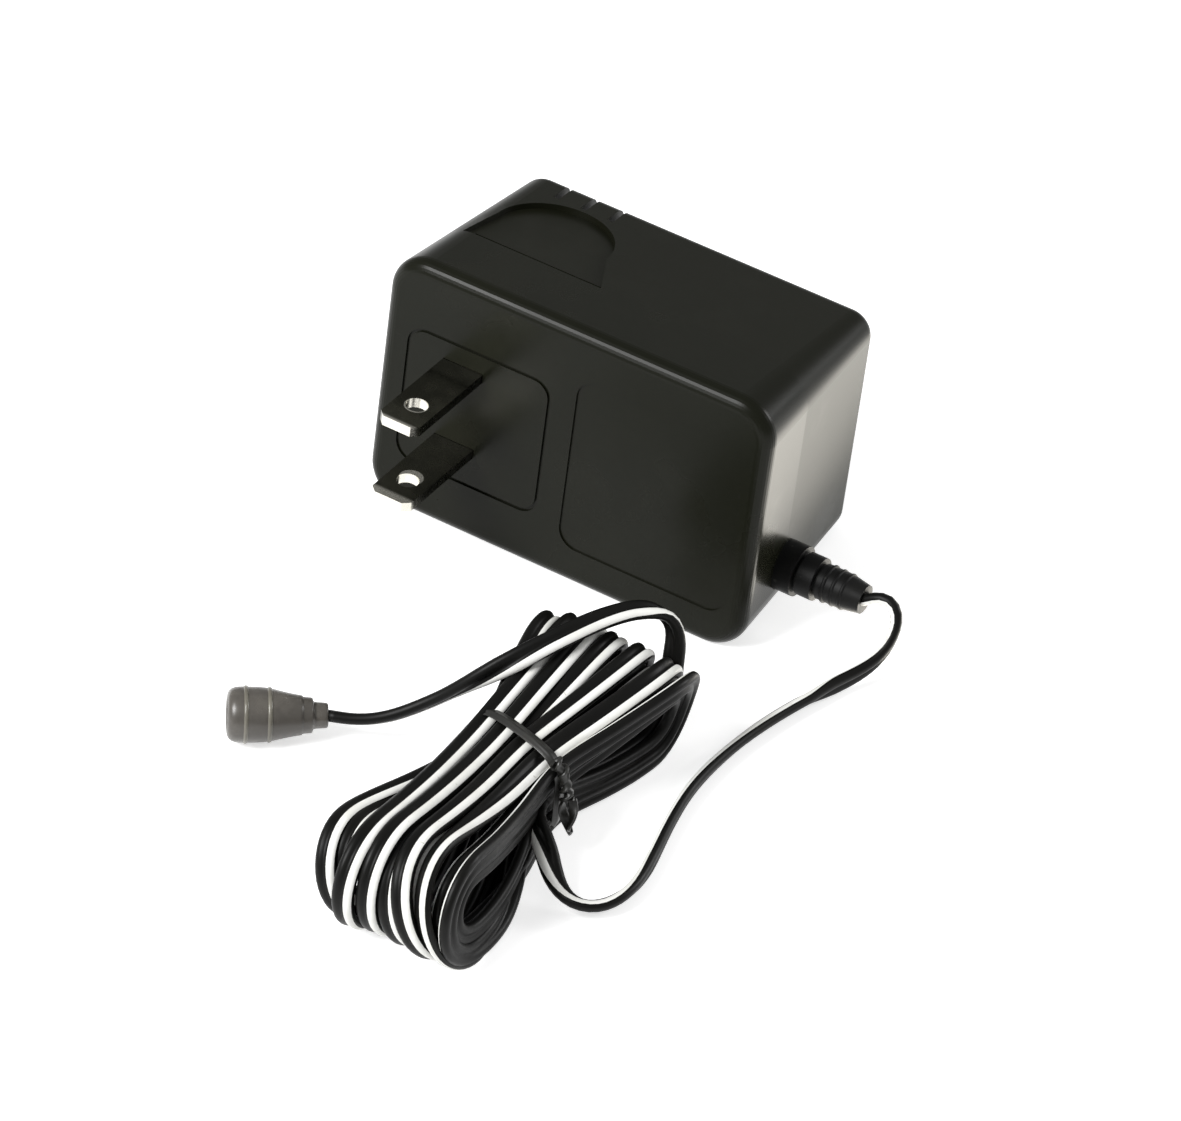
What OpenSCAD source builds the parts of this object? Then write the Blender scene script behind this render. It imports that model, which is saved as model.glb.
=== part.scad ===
// Plug-in mains adapter with a flat twin lead tied in a hank.
// The case lies on its long side. X runs along the case, the blades point to -Y, Z is up.
// The origin is the middle of the face that the case lies on.

/* [Case] */
// Length of the case along X, at the seam
case_w = 59.4; // [58.4:1:80]
// Height of the case as it lies, at the seam
case_h = 39.6; // [39.2:0.4:60]
// Depth of the front cover, from the plug face to the seam
front_depth = 12; // [11.5:0.5:18]
// Depth of the rear cover, from the seam to the back
rear_depth = 22; // [21.5:0.5:34]
// Radius of the four long corners, at the seam
corner_r = 5.2; // [4.4:0.2:7]
// Fillet around the plug face
front_fillet = 2; // [1:0.25:3]
// Fillet around the back
rear_fillet = 2; // [1:0.25:2.5]
// How far each side leans in between the seam and the back
draft = 1.75; // [0.4:0.05:2]
// Wall of both covers
wall = 2; // [1.6:0.1:2.4]
// Thickness of the plug face
face_wall = 2.2; // [1.6:0.1:2.6]
// Length of the lip that enters the rear cover
lip_len = 1.5; // [0.8:0.1:2]
// Depth of the grip recess
grip_depth = 0.9; // [0.4:0.1:1]
// Width of a vent slot
vent_w = 0.9; // [0.6:0.1:1.2]
// Number of vent slots
vent_count = 3; // [1:1:3]

/* [Blades] */
// Width of a blade
blade_w = 6.35; // [5.6:0.05:6.6]
// Thickness of a blade
blade_t = 1.5; // [1:0.05:1.7]
// Length of a blade beyond the plug face
blade_len = 17; // [15:0.5:20]
// Distance between the middles of the two blades
blade_pitch = 12.7; // [12:0.1:14]
// Diameter of the hole near a blade's tip
blade_hole_d = 3.2; // [2.4:0.1:4]
// Distance of the hole from the plug face
blade_hole_at = 11.9; // [10:0.1:12.5]
// Distance of the blades' middle from the left end of the case
blade_from_end = 12.45; // [11.5:0.05:12.5]

/* [Transformer] */
// Room for the board, between the left wall and the lamination stack
room_left = 14.7; // [14.4:0.1:16]
// Room between the lamination stack and the right wall
room_right = 5.7; // [5.4:0.1:7]
// Room below the lamination stack, and above it
room_z = 3.1; // [2.8:0.1:4]
// What the rear cover is deeper than the lamination stack
room_y = 7; // [6.5:0.25:9]
// Share of the stack's width that the middle leg takes
leg_share = 0.274; // [0.25:0.002:0.29]
// Share of the stack's width that each yoke and outer leg takes
yoke_share = 0.14; // [0.12:0.005:0.15]
// Thickness of the bobbin's tube and flanges
bobbin_t = 1; // [0.8:0.1:1.2]
// Share of the window's width that the primary winding fills
primary_fill = 0.435; // [0.3:0.005:0.44]
// Share of the window's width that the secondary winding fills
secondary_fill = 0.385; // [0.3:0.005:0.44]

/* [Board] */
// Thickness of the circuit board
board_t = 1.6; // [1:0.1:1.8]
// Diameter of the smoothing capacitor
cap_d = 8; // [6.3:0.1:8.6]
// Height of the board that the smoothing capacitor leaves to the diodes
cap_above = 17.6; // [16.6:0.1:19.6]
// Diameter of a diode's body
diode_d = 2.7; // [2:0.1:3]
// Length of a diode's body
diode_len = 5.2; // [4:0.1:6]
// Distance between the diodes
diode_pitch = 3.8; // [3.4:0.1:4]

/* [Lead] */
// Width of the flat twin lead
cord_w = 3.2; // [2.8:0.1:3.4]
// Thickness of the flat twin lead
cord_t = 1.6; // [1.4:0.1:1.7]
// Diameter of the strain relief's collar
relief_d = 7.4; // [6:0.2:8]
// Length of the strain relief outside the case
relief_len = 13; // [12:0.2:20]
// Diameter of the hole that the strain relief passes
relief_hole_d = 5.1; // [4.5:0.1:5.5]
// Height of the strain relief's middle
relief_z = 8.6; // [8.4:0.1:12]

/* [Connector] */
// Largest diameter of the connector
socket_d = 8; // [7:0.5:9]
// Length of the connector
socket_len = 13.6; // [12:0.2:20]
// Bore of the connector's contact sleeve
socket_bore_d = 3.6; // [3:0.1:4]
// Diameter of the connector's centre pin
pin_d = 1.3; // [1:0.1:1.6]

/* [Hidden] */
$fn = 48;

// Small clearances
fit = 0.1;
slip = 0.05;
eps = 0.01;

// The case: the seam is at y = 0 and its lower edge at z = 0 before the case is laid down
draft_a = atan(draft / rear_depth);
flare = draft * front_depth / rear_depth;
seat_y = 10;
mid_z = case_h / 2;
in_w = case_w - 2 * wall;
in_h = case_h - 2 * wall;
in_r = max(corner_r - wall, 1);
lip_t = wall / 2 - fit;
face_in = front_depth - face_wall;
groove_w = 0.5;
groove_d = 0.3;

// The panels on the plug face: left, right, bottom and top as distances from the case's edges
panel_r = 3;
plug_panel = [3.4, 26.6, 7.8, 9.4];
label_panel = [30.4, case_w - 2.4, 5.2, 6.4];
label_d = 0.25;

// The grip recess on the top of the rear cover
grip_x = 13.5 - case_w / 2;
grip_r = 8.8;
grip_y = 7.6;
grip_left = -10.1;
grip_right = 12.8;

// The vent slots at the rear of the top
vent_pitch = 4.4;
vent_x = 8.5 - case_w / 2;
vent_len = 5;
vent_drop = 4;

// The blades and what holds them
blade_x = blade_from_end - case_w / 2;
shoulder_w = blade_w + 2;
shoulder_t = 1.4;
tail_w = 4.5;
tail_end = -4;
tail_hole_d = 1.6;
retainer_h = blade_pitch + 9;
retainer_t = 2.5;
retainer_y = -face_in + slip;
stake_d = 2.4;

// The transformer
core_w = in_w - room_left - room_right;
core_h = in_h - 2 * room_z;
stack_t = rear_depth - room_y;
leg_w = leg_share * core_w;
yoke_t = yoke_share * core_w;
core_x = (room_left - room_right) / 2;
core_y = rear_depth - 9.5 - stack_t / 2;
core_z0 = mid_z - core_h / 2;
core_front = core_y - stack_t / 2;
core_back = core_y + stack_t / 2;
window_h = core_h - 2 * yoke_t;
window_w = (core_w - leg_w - 2 * yoke_t) / 2;
tube_x = leg_w + 2 * fit + 2 * bobbin_t;
tube_y = stack_t + 2 * fit + 2 * bobbin_t;
flange_x = leg_w + 2 * window_w - 2 * 0.3;
flange_y = stack_t + 12.4;
primary_t = primary_fill * window_w;
secondary_t = secondary_fill * window_w;
bobbin_h = window_h - 2 * fit;
bobbin_z0 = core_z0 + yoke_t + fit;
bobbin_z1 = bobbin_z0 + bobbin_h;
room_h = (bobbin_h - 3 * bobbin_t) / 2;
tape_t = 0.4;
winding_r = 2;
lug_h = 2.2;
lug_l = 3;
tpin_d = 0.9;
tpin_len = 5;
primary_pins = [core_x - 5.5, core_x - 0.5];
secondary_pins = [core_x - 6, core_x - 2];
fuse_d = 2;
fuse_len = 8;
rib_t = 0.41 * yoke_t;
rib_h = 12;
rib_off = (core_w - yoke_t) / 2 - 0.265 * yoke_t;
retainer_w = 2 * (core_x - rib_off - rib_t / 2 - fit - blade_x);
stake_off = retainer_w / 2 - 1.5;
foot_t = 1.6;

// The board stands against the left wall
board_x = -in_w / 2 + 3.4;
board_y0 = 1.8;
board_y1 = rear_depth - wall - 2.2;
board_z0 = wall + 3;
board_z1 = case_h - wall - 3;
leg_d = 0.8;
leg_out = 0.8;
leg_hole_d = leg_d + 0.2;
cap_y = 6.6;
cap_z0 = board_z0 + 2;
cap_len = board_z1 - board_z0 - cap_above;
cap_x = board_x + board_t + cap_d / 2 + slip;
cap_leg_z = cap_z0 + cap_len + 1.6;
cap_leg_gap = 3.5;
diode_x = board_x + board_t + diode_d / 2 + slip;
diode_y0 = board_y0 + 1.4;
diode_z0 = board_z1 - 10;
diode_leg_run = 2.4;
guide_t = 1;
wire_d = 1.3;

// The strain relief, along X from the face inside the case
relief_in = 2.4;
relief_flange = 6.4;
relief_x0 = in_w / 2 - relief_in - 0.4;
relief_x1 = case_w / 2 + relief_len;
relief_neck_d = relief_hole_d - fit;
cord_exit = [relief_x1, 0, relief_z];

// The hank: two lobes and a waist, drawn in plan and from the side
hank_x = 23;
hank_w = 23.4;
waist_x = 21.7;
waist_w = 12.8;
hank_y0 = -103.4;
hank_y1 = -38;
near_h = 17.8;
far_h = 16.4;
waist_h = 13.6;
waist_z = 1.1;
waist_y = -66;
waist_half = 12;
lobe_r = 4;
lobe_l = 14;
dip_half = 4;
tie_w = 1.8;
tie_t = 0.9;
tie_gap = 0.05;
loop_r = 2.4;
loop_d = 1.3;

// The lead's two routes in the frame of the laid-down part, and the height of a lead that lies on its edge
edge_z = 0.57 * cord_w;
lead_route = [[44, -9.3, 9.2], [45.2, -9, 10.6], [46.6, -8.9, 11], [47.8, -9, 10], [48.5, -10, 7.8],
    [48.5, -12.4, 4.8], [47.4, -15.4, 3], [45.3, -19.6, 2.1], [42.8, -26, edge_z], [40.8, -34, edge_z],
    [39.7, -42, edge_z], [39.6, -50, edge_z], [40.9, -58, edge_z], [42.6, -65, edge_z],
    [43.4, -70, edge_z], [42.9, -75, edge_z], [40.6, -78.4, edge_z], [37.2, -78.8, 2.3],
    [34.2, -77, 3.6], [32, -74.8, 4.9], [30.2, -73, 5.8]];
lead_end = [waist_x + waist_w / 2, -72.4, 6.2];
tail_a = 35;
tail_start = [29.5, hank_y1 - far_h / 2 * (1 - cos(tail_a)), far_h / 2 * (1 + sin(tail_a))];
tail_route = [[29.4, -38.2, 14], [29, -37.4, 15.6], [28.2, -37.2, 17.2], [26.6, -38, 18.6],
    [24.4, -40.2, 19.3], [21.3, -45.2, 19.3], [18.5, -51, 18.7], [13.1, -57.6, 15], [6, -61, 8.4],
    [0.5, -64.8, 4.8], [-3.6, -67, 3.9]];
plug_at = [-6.6, -68.2, socket_d / 2];
plug_turn = 215;
facing = [0.36, -0.68, 0.64];
steps = 3;

// The connector, from its neck to its mouth
mouth_r = 1.5;
mouth_in = 0.2;
sleeve_t = 0.4;
sleeve_len = 7;
holder_len = 1.6;
pin_back = 0.8;

function unit(v) = v / norm(v);
function across(v, t) = unit(v - (v * t) * t);
function blend(a, b, c, d, t) = b + 0.5 * t * ((c - a) + t * ((2 * a - 5 * b + 4 * c - d)
    + t * (3 * b - a - 3 * c + d)));
function smooth_route(p, n) = [
    for (i = [0:len(p) - 2], k = [0:n - 1])
        blend(p[max(i - 1, 0)], p[i], p[i + 1], p[min(i + 2, len(p) - 1)], k / n),
    p[len(p) - 1]];
function heading(p, i) = unit(p[min(i + 1, len(p) - 1)] - p[max(i - 1, 0)]);
function flat_section(w, t) =
    let (a = w / 2, b = t / 2, c = t / 4)
    [[a, -c], [a, c], [a - c, b], [c - a, b], [-a, c], [-a, -c], [c - a, -b], [a - c, -b]];
function round_section(d) = [for (k = [0:7]) d / 2 * [cos(45 * k + 22.5), sin(45 * k + 22.5)]];

// Sweeps an eight-sided section along a route. The section's first axis follows the hint.
// The two end faces stand square to the given end directions.
module sweep(p, section, hint, first, last) {
    n = len(p);
    rings = [for (i = [0:n - 1])
        let (t = i == 0 ? first : i == n - 1 ? last : heading(p, i), s = across(hint, t), u = cross(t, s))
        for (q = section) p[i] + q[0] * s + q[1] * u];
    m = len(section);
    polyhedron(rings, concat(
        [[for (k = [0:m - 1]) k]],
        [for (i = [0:n - 2], k = [0:m - 1], h = [0, 1])
            let (a = i * m + k, b = i * m + (k + 1) % m)
            h == 0 ? [a, b + m, b] : [a, a + m, b + m]],
        [[for (k = [0:m - 1]) n * m - 1 - k]]), convexity = 6);
}

// Lays the case on the slanted side of its rear cover
module laid() {
    translate([0, -seat_y, 0]) rotate([-draft_a, 0, 0]) children();
}

function laid_point(p) = [p[0], p[1] * cos(draft_a) + p[2] * sin(draft_a) - seat_y,
    p[2] * cos(draft_a) - p[1] * sin(draft_a)];

// Turns depth along local Z into depth along Y, to the back or to the front
module to_back() {
    translate([0, 0, mid_z]) rotate([-90, 0, 0]) children();
}

module to_front() {
    translate([0, 0, mid_z]) rotate([90, 0, 0]) children();
}

module rounded(w, h, r) {
    square([w - 2 * r, h], center = true);
    square([w, h - 2 * r], center = true);
    for (sx = [-1, 1], sy = [-1, 1]) {
        translate([sx * (w / 2 - r), sy * (h / 2 - r)]) circle(r);
    }
}

// Half outline of a cover: a side that leans in, and a fillet at its closed end
function half_outline(half, depth, lean, f) =
    let (a = atan(lean / depth), cy = depth - f, cx = half - lean * cy / depth - f / cos(a))
    concat(
        [[0, 0], [half, 0]],
        [for (i = [0:8]) let (t = a + (90 - a) * i / 8) [cx + f * cos(t), cy + f * sin(t)]],
        [[0, depth]]
    );

// A box with one open end and rounded corners, whose four sides all lean in.
// It is made of a middle block, four side strips and four quarter turns.
module cover_solid(w, h, r, depth, lean, f) {
    outline = half_outline(r, depth, lean, min(f, r - lean - 0.3));
    a = w / 2 - r;
    b = h / 2 - r;
    translate([-a, -b, 0]) cube([2 * a, 2 * b, depth]);
    for (s = [0, 180]) {
        rotate([0, 0, s]) {
            translate([a, 0, 0]) rotate([90, 0, 0]) linear_extrude(2 * b, center = true)
                polygon(outline);
            translate([0, b, 0]) rotate([90, 0, 90]) linear_extrude(2 * a, center = true)
                polygon(outline);
            translate([a, b, 0]) rotate_extrude(angle = 90) polygon(outline);
            translate([-a, b, 0]) rotate([0, 0, 90]) rotate_extrude(angle = 90) polygon(outline);
        }
    }
}

module rounded_block(w, h, r, depth) {
    linear_extrude(depth) rounded(w, h, r);
}

module cylinder_x(d, x0, x1) {
    translate([x0, 0, 0]) rotate([0, 90, 0]) cylinder(d = d, h = x1 - x0);
}

module cylinder_y(d, y0, y1) {
    translate([0, y0, 0]) rotate([-90, 0, 0]) cylinder(d = d, h = y1 - y0);
}

// A panel's outline on the plug face, in a plane that looks to the front
module panel_outline(p, inset) {
    w = p[1] - p[0] - 2 * inset;
    h = case_h - p[2] - p[3] - 2 * inset;
    translate([(p[0] + p[1]) / 2 - case_w / 2, (p[2] - p[3]) / 2]) rounded(w, h, panel_r - inset);
}

module relief_cut() {
    translate([0, 0, relief_z]) {
        cylinder_x(relief_hole_d, in_w / 2 - 3, case_w / 2 + 1);
        cylinder_x(relief_d + 2 * fit, case_w / 2, case_w / 2 + 2);
    }
}

module relief_pocket() {
    s = relief_flange + 2 * fit;
    translate([relief_x0 - fit, -s / 2, relief_z - s / 2]) cube([relief_in + 0.45, s, s]);
}

module blade_places() {
    for (s = [-1, 1]) {
        translate([blade_x, 0, mid_z + s * blade_pitch / 2]) children();
    }
}

module stake_places() {
    for (s = [-1, 1]) {
        translate([blade_x + s * stake_off, 0, mid_z]) children();
    }
}

// The ribs press on the outer legs of the stack, on both sides of the bobbin
module rib_places() {
    for (s = [-1, 1]) {
        translate([core_x + s * rib_off, 0, mid_z]) children();
    }
}

module front_cover() {
    color("#23241f") difference() {
        union() {
            difference() {
                to_front() cover_solid(case_w, case_h, corner_r, front_depth, -flare, front_fillet);
                to_front() translate([0, 0, -eps])
                    cover_solid(in_w, in_h, in_r, face_in + eps, -flare * face_in / front_depth, 0.5);
                to_front() translate([0, 0, -1]) rounded_block(in_w, in_h, in_r, 2);
            }
            difference() {
                to_back() translate([0, 0, -1.5]) rounded_block(in_w + 2 * lip_t, in_h + 2 * lip_t,
                    in_r + lip_t, lip_len + 1.5);
                to_back() translate([0, 0, -2]) rounded_block(in_w, in_h, in_r, lip_len + 3);
            }
            rib_places() translate([-rib_t / 2, -face_in - eps, -rib_h / 2])
                cube([rib_t, face_in + core_front - fit, rib_h]);
            stake_places() cylinder_y(stake_d, -face_in - eps, retainer_y + retainer_t + 0.4);
        }
        blade_places() translate([-blade_w / 2 - slip, -front_depth - 1, -blade_t / 2 - slip])
            cube([blade_w + 2 * slip, face_wall + 2, blade_t + 2 * slip]);
        to_front() translate([0, 0, front_depth - groove_d]) linear_extrude(groove_d + 1) difference() {
            panel_outline(plug_panel, 0);
            panel_outline(plug_panel, groove_w);
        }
        to_front() translate([0, 0, front_depth - label_d]) linear_extrude(label_d + 1)
            panel_outline(label_panel, 0);
        relief_cut();
        relief_pocket();
    }
}

module rear_cover() {
    color("#262721") difference() {
        union() {
            difference() {
                to_back() cover_solid(case_w, case_h, corner_r, rear_depth, draft, rear_fillet);
                to_back() translate([0, 0, -eps])
                    cover_solid(in_w, in_h, in_r, rear_depth - wall + eps, draft, 0.5);
            }
            intersection() {
                rear_ribs();
                to_back()
                    cover_solid(case_w - wall, case_h - wall, corner_r, rear_depth - wall / 2, draft, 1);
            }
        }
        // Rebate for the front cover's lip
        to_back() translate([0, 0, -eps])
            rounded_block(in_w + wall, in_h + wall, in_r + wall / 2, lip_len + fit);
        grip_cut();
        for (i = [0:vent_count - 1]) {
            x = vent_x + i * vent_pitch - vent_w / 2;
            translate([x, rear_depth - vent_len, case_h - draft - vent_drop])
                cube([vent_w, vent_len + 1, vent_drop + draft + 1]);
        }
        relief_cut();
        relief_pocket();
    }
}

// Ribs behind the stack, feet below and above it, and guides for the board's rear edge
module rear_ribs() {
    rib_places() translate([-rib_t / 2, core_back + fit, -rib_h / 2])
        cube([rib_t, rear_depth - core_back, rib_h]);
    for (s = [-1, 1], t = [-1, 1]) {
        x = core_x + s * (core_w / 2 - 7) - foot_t / 2;
        translate([x, core_y - 1, t < 0 ? 0 : core_z0 + core_h + fit])
            cube([foot_t, rear_depth - core_y + 1, core_z0 - fit]);
    }
    for (x = [board_x - guide_t - fit, board_x + board_t + fit]) {
        translate([x, board_y1 - 1.6, board_z0])
            cube([guide_t, rear_depth - board_y1 + 1.6, board_z1 - board_z0]);
    }
}

module grip_cut() {
    translate([grip_x, 0, case_h]) rotate([-draft_a, 0, 0]) translate([0, 0, -grip_depth]) {
        linear_extrude(grip_depth + 2) {
            translate([0, grip_y]) circle(grip_r);
            polygon([[grip_left, -1], [grip_right, -1], [grip_r, grip_y], [-grip_r, grip_y]]);
        }
    }
}

// A blade with the shoulder that stops it and the tail that takes its lead
module blade() {
    y0 = -front_depth - blade_len;
    chamfer = 1;
    difference() {
        union() {
            linear_extrude(blade_t, center = true) polygon([
                [-blade_w / 2, -face_in], [-blade_w / 2, y0 + chamfer], [-blade_w / 2 + chamfer, y0],
                [blade_w / 2 - chamfer, y0], [blade_w / 2, y0 + chamfer], [blade_w / 2, -face_in]]);
            translate([-shoulder_w / 2, -face_in, -blade_t / 2]) cube([shoulder_w, shoulder_t, blade_t]);
            translate([-tail_w / 2, -face_in, -blade_t / 2]) cube([tail_w, face_in + tail_end, blade_t]);
        }
        translate([0, -front_depth - blade_hole_at, -blade_t]) cylinder(d = blade_hole_d, h = 2 * blade_t);
    }
}

module blade_upper() {
    color("silver") translate([blade_x, 0, mid_z + blade_pitch / 2]) blade();
}

module blade_lower() {
    color("silver") translate([blade_x, 0, mid_z - blade_pitch / 2]) blade();
}

module blade_retainer() {
    color("ivory") difference() {
        translate([blade_x - retainer_w / 2, retainer_y, mid_z - retainer_h / 2])
            cube([retainer_w, retainer_t, retainer_h]);
        blade_places() translate([-shoulder_w / 2 - fit, -face_in - 1, -blade_t / 2 - fit])
            cube([shoulder_w + 2 * fit, shoulder_t + 1 + fit, blade_t + 2 * fit]);
        blade_places() translate([-tail_w / 2 - fit, -face_in - 1, -blade_t / 2 - fit])
            cube([tail_w + 2 * fit, retainer_t + 2, blade_t + 2 * fit]);
        stake_places() cylinder_y(stake_d + 2 * fit, retainer_y - 1, retainer_y + retainer_t + 1);
    }
}

module stack_block(w, z0, z1, x = 0) {
    translate([core_x + x - w / 2, core_front, z0]) cube([w, stack_t, z1 - z0]);
}

module core_e_stack() {
    z1 = core_z0 + core_h - yoke_t;
    color("dimgray") union() {
        stack_block(core_w, core_z0, core_z0 + yoke_t);
        stack_block(leg_w, core_z0, z1);
        for (s = [-1, 1]) {
            stack_block(yoke_t, core_z0, z1, s * (core_w - yoke_t) / 2);
        }
    }
}

module core_i_stack() {
    color("gray") stack_block(core_w, core_z0 + core_h - yoke_t, core_z0 + core_h);
}

module ring_block(w, d, r, z0, z1) {
    translate([core_x, core_y, z0]) linear_extrude(z1 - z0) rounded(w, d, r);
}

module bobbin() {
    color("beige") difference() {
        union() {
            ring_block(tube_x, tube_y, 1, bobbin_z0, bobbin_z1);
            for (z = [bobbin_z0, bobbin_z0 + bobbin_t + room_h, bobbin_z1 - bobbin_t]) {
                ring_block(flange_x, flange_y, 1, z, z + bobbin_t);
            }
            pin_lug(primary_pins, -1, bobbin_z0 - lug_h, bobbin_z0 + eps);
            pin_lug(secondary_pins, 1, bobbin_z1 - eps, bobbin_z1 + lug_h);
        }
        ring_block(tube_x - 2 * bobbin_t, tube_y - 2 * bobbin_t, 0.3, bobbin_z0 - 1, bobbin_z1 + 1);
        for (x = primary_pins) {
            translate([x, pin_row(-1), bobbin_z0 - lug_h - 1])
                cylinder(d = tpin_d, h = lug_h + bobbin_t + 2);
        }
        for (x = secondary_pins) {
            translate([x, pin_row(1), bobbin_z1 - bobbin_t - 1])
                cylinder(d = tpin_d, h = lug_h + bobbin_t + 2);
        }
    }
}

// Place of a row of pins: side -1 is at the front of the bobbin and 1 at its back
function pin_row(side) = core_y + side * (flange_y / 2 - lug_l / 2);

module pin_lug(xs, side, z0, z1) {
    translate([xs[0] - 1.5, pin_row(side) - lug_l / 2, z0]) cube([xs[1] - xs[0] + 3, lug_l, z1 - z0]);
}

module winding(t, z0) {
    difference() {
        ring_block(tube_x + 2 * t, tube_y + 2 * t, winding_r, z0 + slip, z0 + room_h - slip);
        ring_block(tube_x + 2 * slip, tube_y + 2 * slip, 1, z0 - 1, z0 + room_h + 1);
    }
}

module tape(t, z0) {
    w = tube_x + 2 * t;
    d = tube_y + 2 * t;
    difference() {
        ring_block(w + 2 * tape_t, d + 2 * tape_t, winding_r + tape_t, z0 + fit, z0 + room_h - fit);
        ring_block(w + 2 * slip, d + 2 * slip, winding_r, z0 - 1, z0 + room_h + 1);
    }
}

module primary_winding() {
    color("#b5651d") winding(primary_t, bobbin_z0 + bobbin_t);
}

module secondary_winding() {
    color("#c87533") winding(secondary_t, bobbin_z0 + 2 * bobbin_t + room_h);
}

module primary_tape() {
    color("gold") tape(primary_t, bobbin_z0 + bobbin_t);
}

module secondary_tape() {
    color("khaki") tape(secondary_t, bobbin_z0 + 2 * bobbin_t + room_h);
}

module thermal_fuse() {
    y = core_y - tube_y / 2 - primary_t - tape_t - fuse_d / 2 - slip;
    z = bobbin_z0 + bobbin_t + room_h / 2;
    color("tan") translate([core_x - fuse_len / 2, y, z]) {
        cylinder_x(fuse_d, 0, fuse_len);
        cylinder_x(0.6, -1.5, fuse_len + 1.5);
    }
}

module terminal_pin(x, side, z0) {
    translate([x, pin_row(side), z0]) cylinder(d = tpin_d - 2 * slip, h = tpin_len + bobbin_t / 2);
}

module primary_pin(i) {
    color("lightgray") terminal_pin(primary_pins[i], -1, bobbin_z0 + bobbin_t / 2 - tpin_len - bobbin_t / 2);
}

module secondary_pin(i) {
    color("lightgray") terminal_pin(secondary_pins[i], 1, bobbin_z1 - bobbin_t / 2);
}

// A bare or covered wire inside the case, through the given points
module wire(p, first, last) {
    sweep(smooth_route(p, 2), round_section(wire_d), [0.3, 0.5, 0.8], first, last);
}

function pin_side(i) = [primary_pins[i] - tpin_d / 2, pin_row(-1), bobbin_z0 - lug_h - 1.4];

module live_lead() {
    z = mid_z + blade_pitch / 2;
    p = pin_side(0);
    color("saddlebrown") wire([[blade_x, tail_end, z], [blade_x, tail_end + 1.6, z - 1.4],
        [blade_x + 1.2, tail_end + 1.2, z - 6], [blade_x + 4, tail_end + 0.2, z - 12.6],
        [p[0] - 8.6, p[1] + 2.2, p[2] + 3.6], [p[0] - 2.6, p[1] + 0.5, p[2]], p], [0, 1, 0], [1, 0, 0]);
}

module neutral_lead() {
    z = mid_z - blade_pitch / 2;
    p = pin_side(1);
    color("royalblue") wire([[blade_x, tail_end, z], [blade_x, tail_end + 1.6, z - 1.2],
        [blade_x + 2, tail_end, z - 5], [blade_x + 7, tail_end - 1.6, p[2]],
        [primary_pins[0] - 1, p[1] + 2.6, p[2] - 0.8],
        [p[0] - 2, p[1] + 1.2, p[2]], p], [0, 1, 0], [1, 0, 0]);
}

module secondary_lead(i) {
    x = secondary_pins[i] - tpin_d / 2;
    z = bobbin_z1 + lug_h + 1 + i * 1.2;
    y = pin_row(1);
    ye = board_y1 - 2.6 - i * 2;
    ze = board_z1 - 1.15;
    wire([[x, y, z], [x - 2.4, y - i * 1.5, z], [x - 7, y - i * 1.5, z], [core_x - 18.5, ye + 0.5 * i, ze],
        [board_x + board_t + 2, ye, ze], [board_x + board_t, ye, ze]], [-1, 0, 0], [-1, 0, 0]);
}

module circuit_board() {
    color("darkgreen") difference() {
        translate([board_x, board_y0, board_z0]) cube([board_t, board_y1 - board_y0, board_z1 - board_z0]);
        for (p = leg_points()) {
            translate([0, p[0], p[1]]) cylinder_x(leg_hole_d, board_x - 1, board_x + board_t + 1);
        }
    }
}

function diode_y(i) = diode_y0 + i * diode_pitch;
function diode_leg_z(s) = diode_z0 + diode_len / 2 + s * (diode_len / 2 + diode_leg_run);
function leg_points() = concat(
    [for (i = [0:3], s = [-1, 1]) [diode_y(i), diode_leg_z(s)]],
    [for (s = [-1, 1]) [cap_y + s * cap_leg_gap / 2, cap_leg_z]]);

// A leg that leaves a component and turns into the board
module bent_leg(x, y, z0, z1) {
    translate([x, y, min(z0, z1)]) cylinder(d = leg_d, h = abs(z1 - z0));
    translate([x, y, z1]) sphere(d = leg_d);
    translate([0, y, z1]) cylinder_x(leg_d, board_x - leg_out, x);
}

module diode(i) {
    color("#2b2b2b") union() {
        translate([diode_x, diode_y(i), diode_z0]) cylinder(d = diode_d, h = diode_len);
        for (s = [-1, 1]) {
            bent_leg(diode_x, diode_y(i), diode_z0 + diode_len / 2, diode_leg_z(s));
        }
    }
}

module smoothing_capacitor() {
    color("navy") union() {
        translate([cap_x, cap_y, cap_z0]) cylinder(d = cap_d, h = cap_len);
        for (s = [-1, 1]) {
            bent_leg(cap_x, cap_y + s * cap_leg_gap / 2, cap_z0 + cap_len / 2, cap_leg_z);
        }
    }
}

module output_lead(i) {
    y = board_y0 + 2 + i * 2.4;
    ze = relief_z + (i - 0.5) * cord_w / 2;
    low = wall + 1.4;
    run = core_front - 4 + 2.1 * i;
    color(i == 0 ? "black" : "white") wire([[board_x + board_t, y, board_z0 + 1],
        [board_x + board_t + 1.8, y, board_z0 + 0.6], [board_x + 6 + 2 * i, y - 5, low + 0.6],
        [core_x - core_w / 2 + 1.5, run, low], [core_x, run, low], [core_x + core_w / 2 - 3.5, run, low],
        [relief_x0 - 2.6, run + 0.4, low + 1 + 4.2 * i], [relief_x0 - 1.8, run + 3 - i, ze - 1.6 + 1.8 * i],
        [relief_x0 - 0.9, -0.2, ze], [relief_x0, 0, ze]],
        [1, 0, 0], [1, 0, 0]);
}

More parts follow.
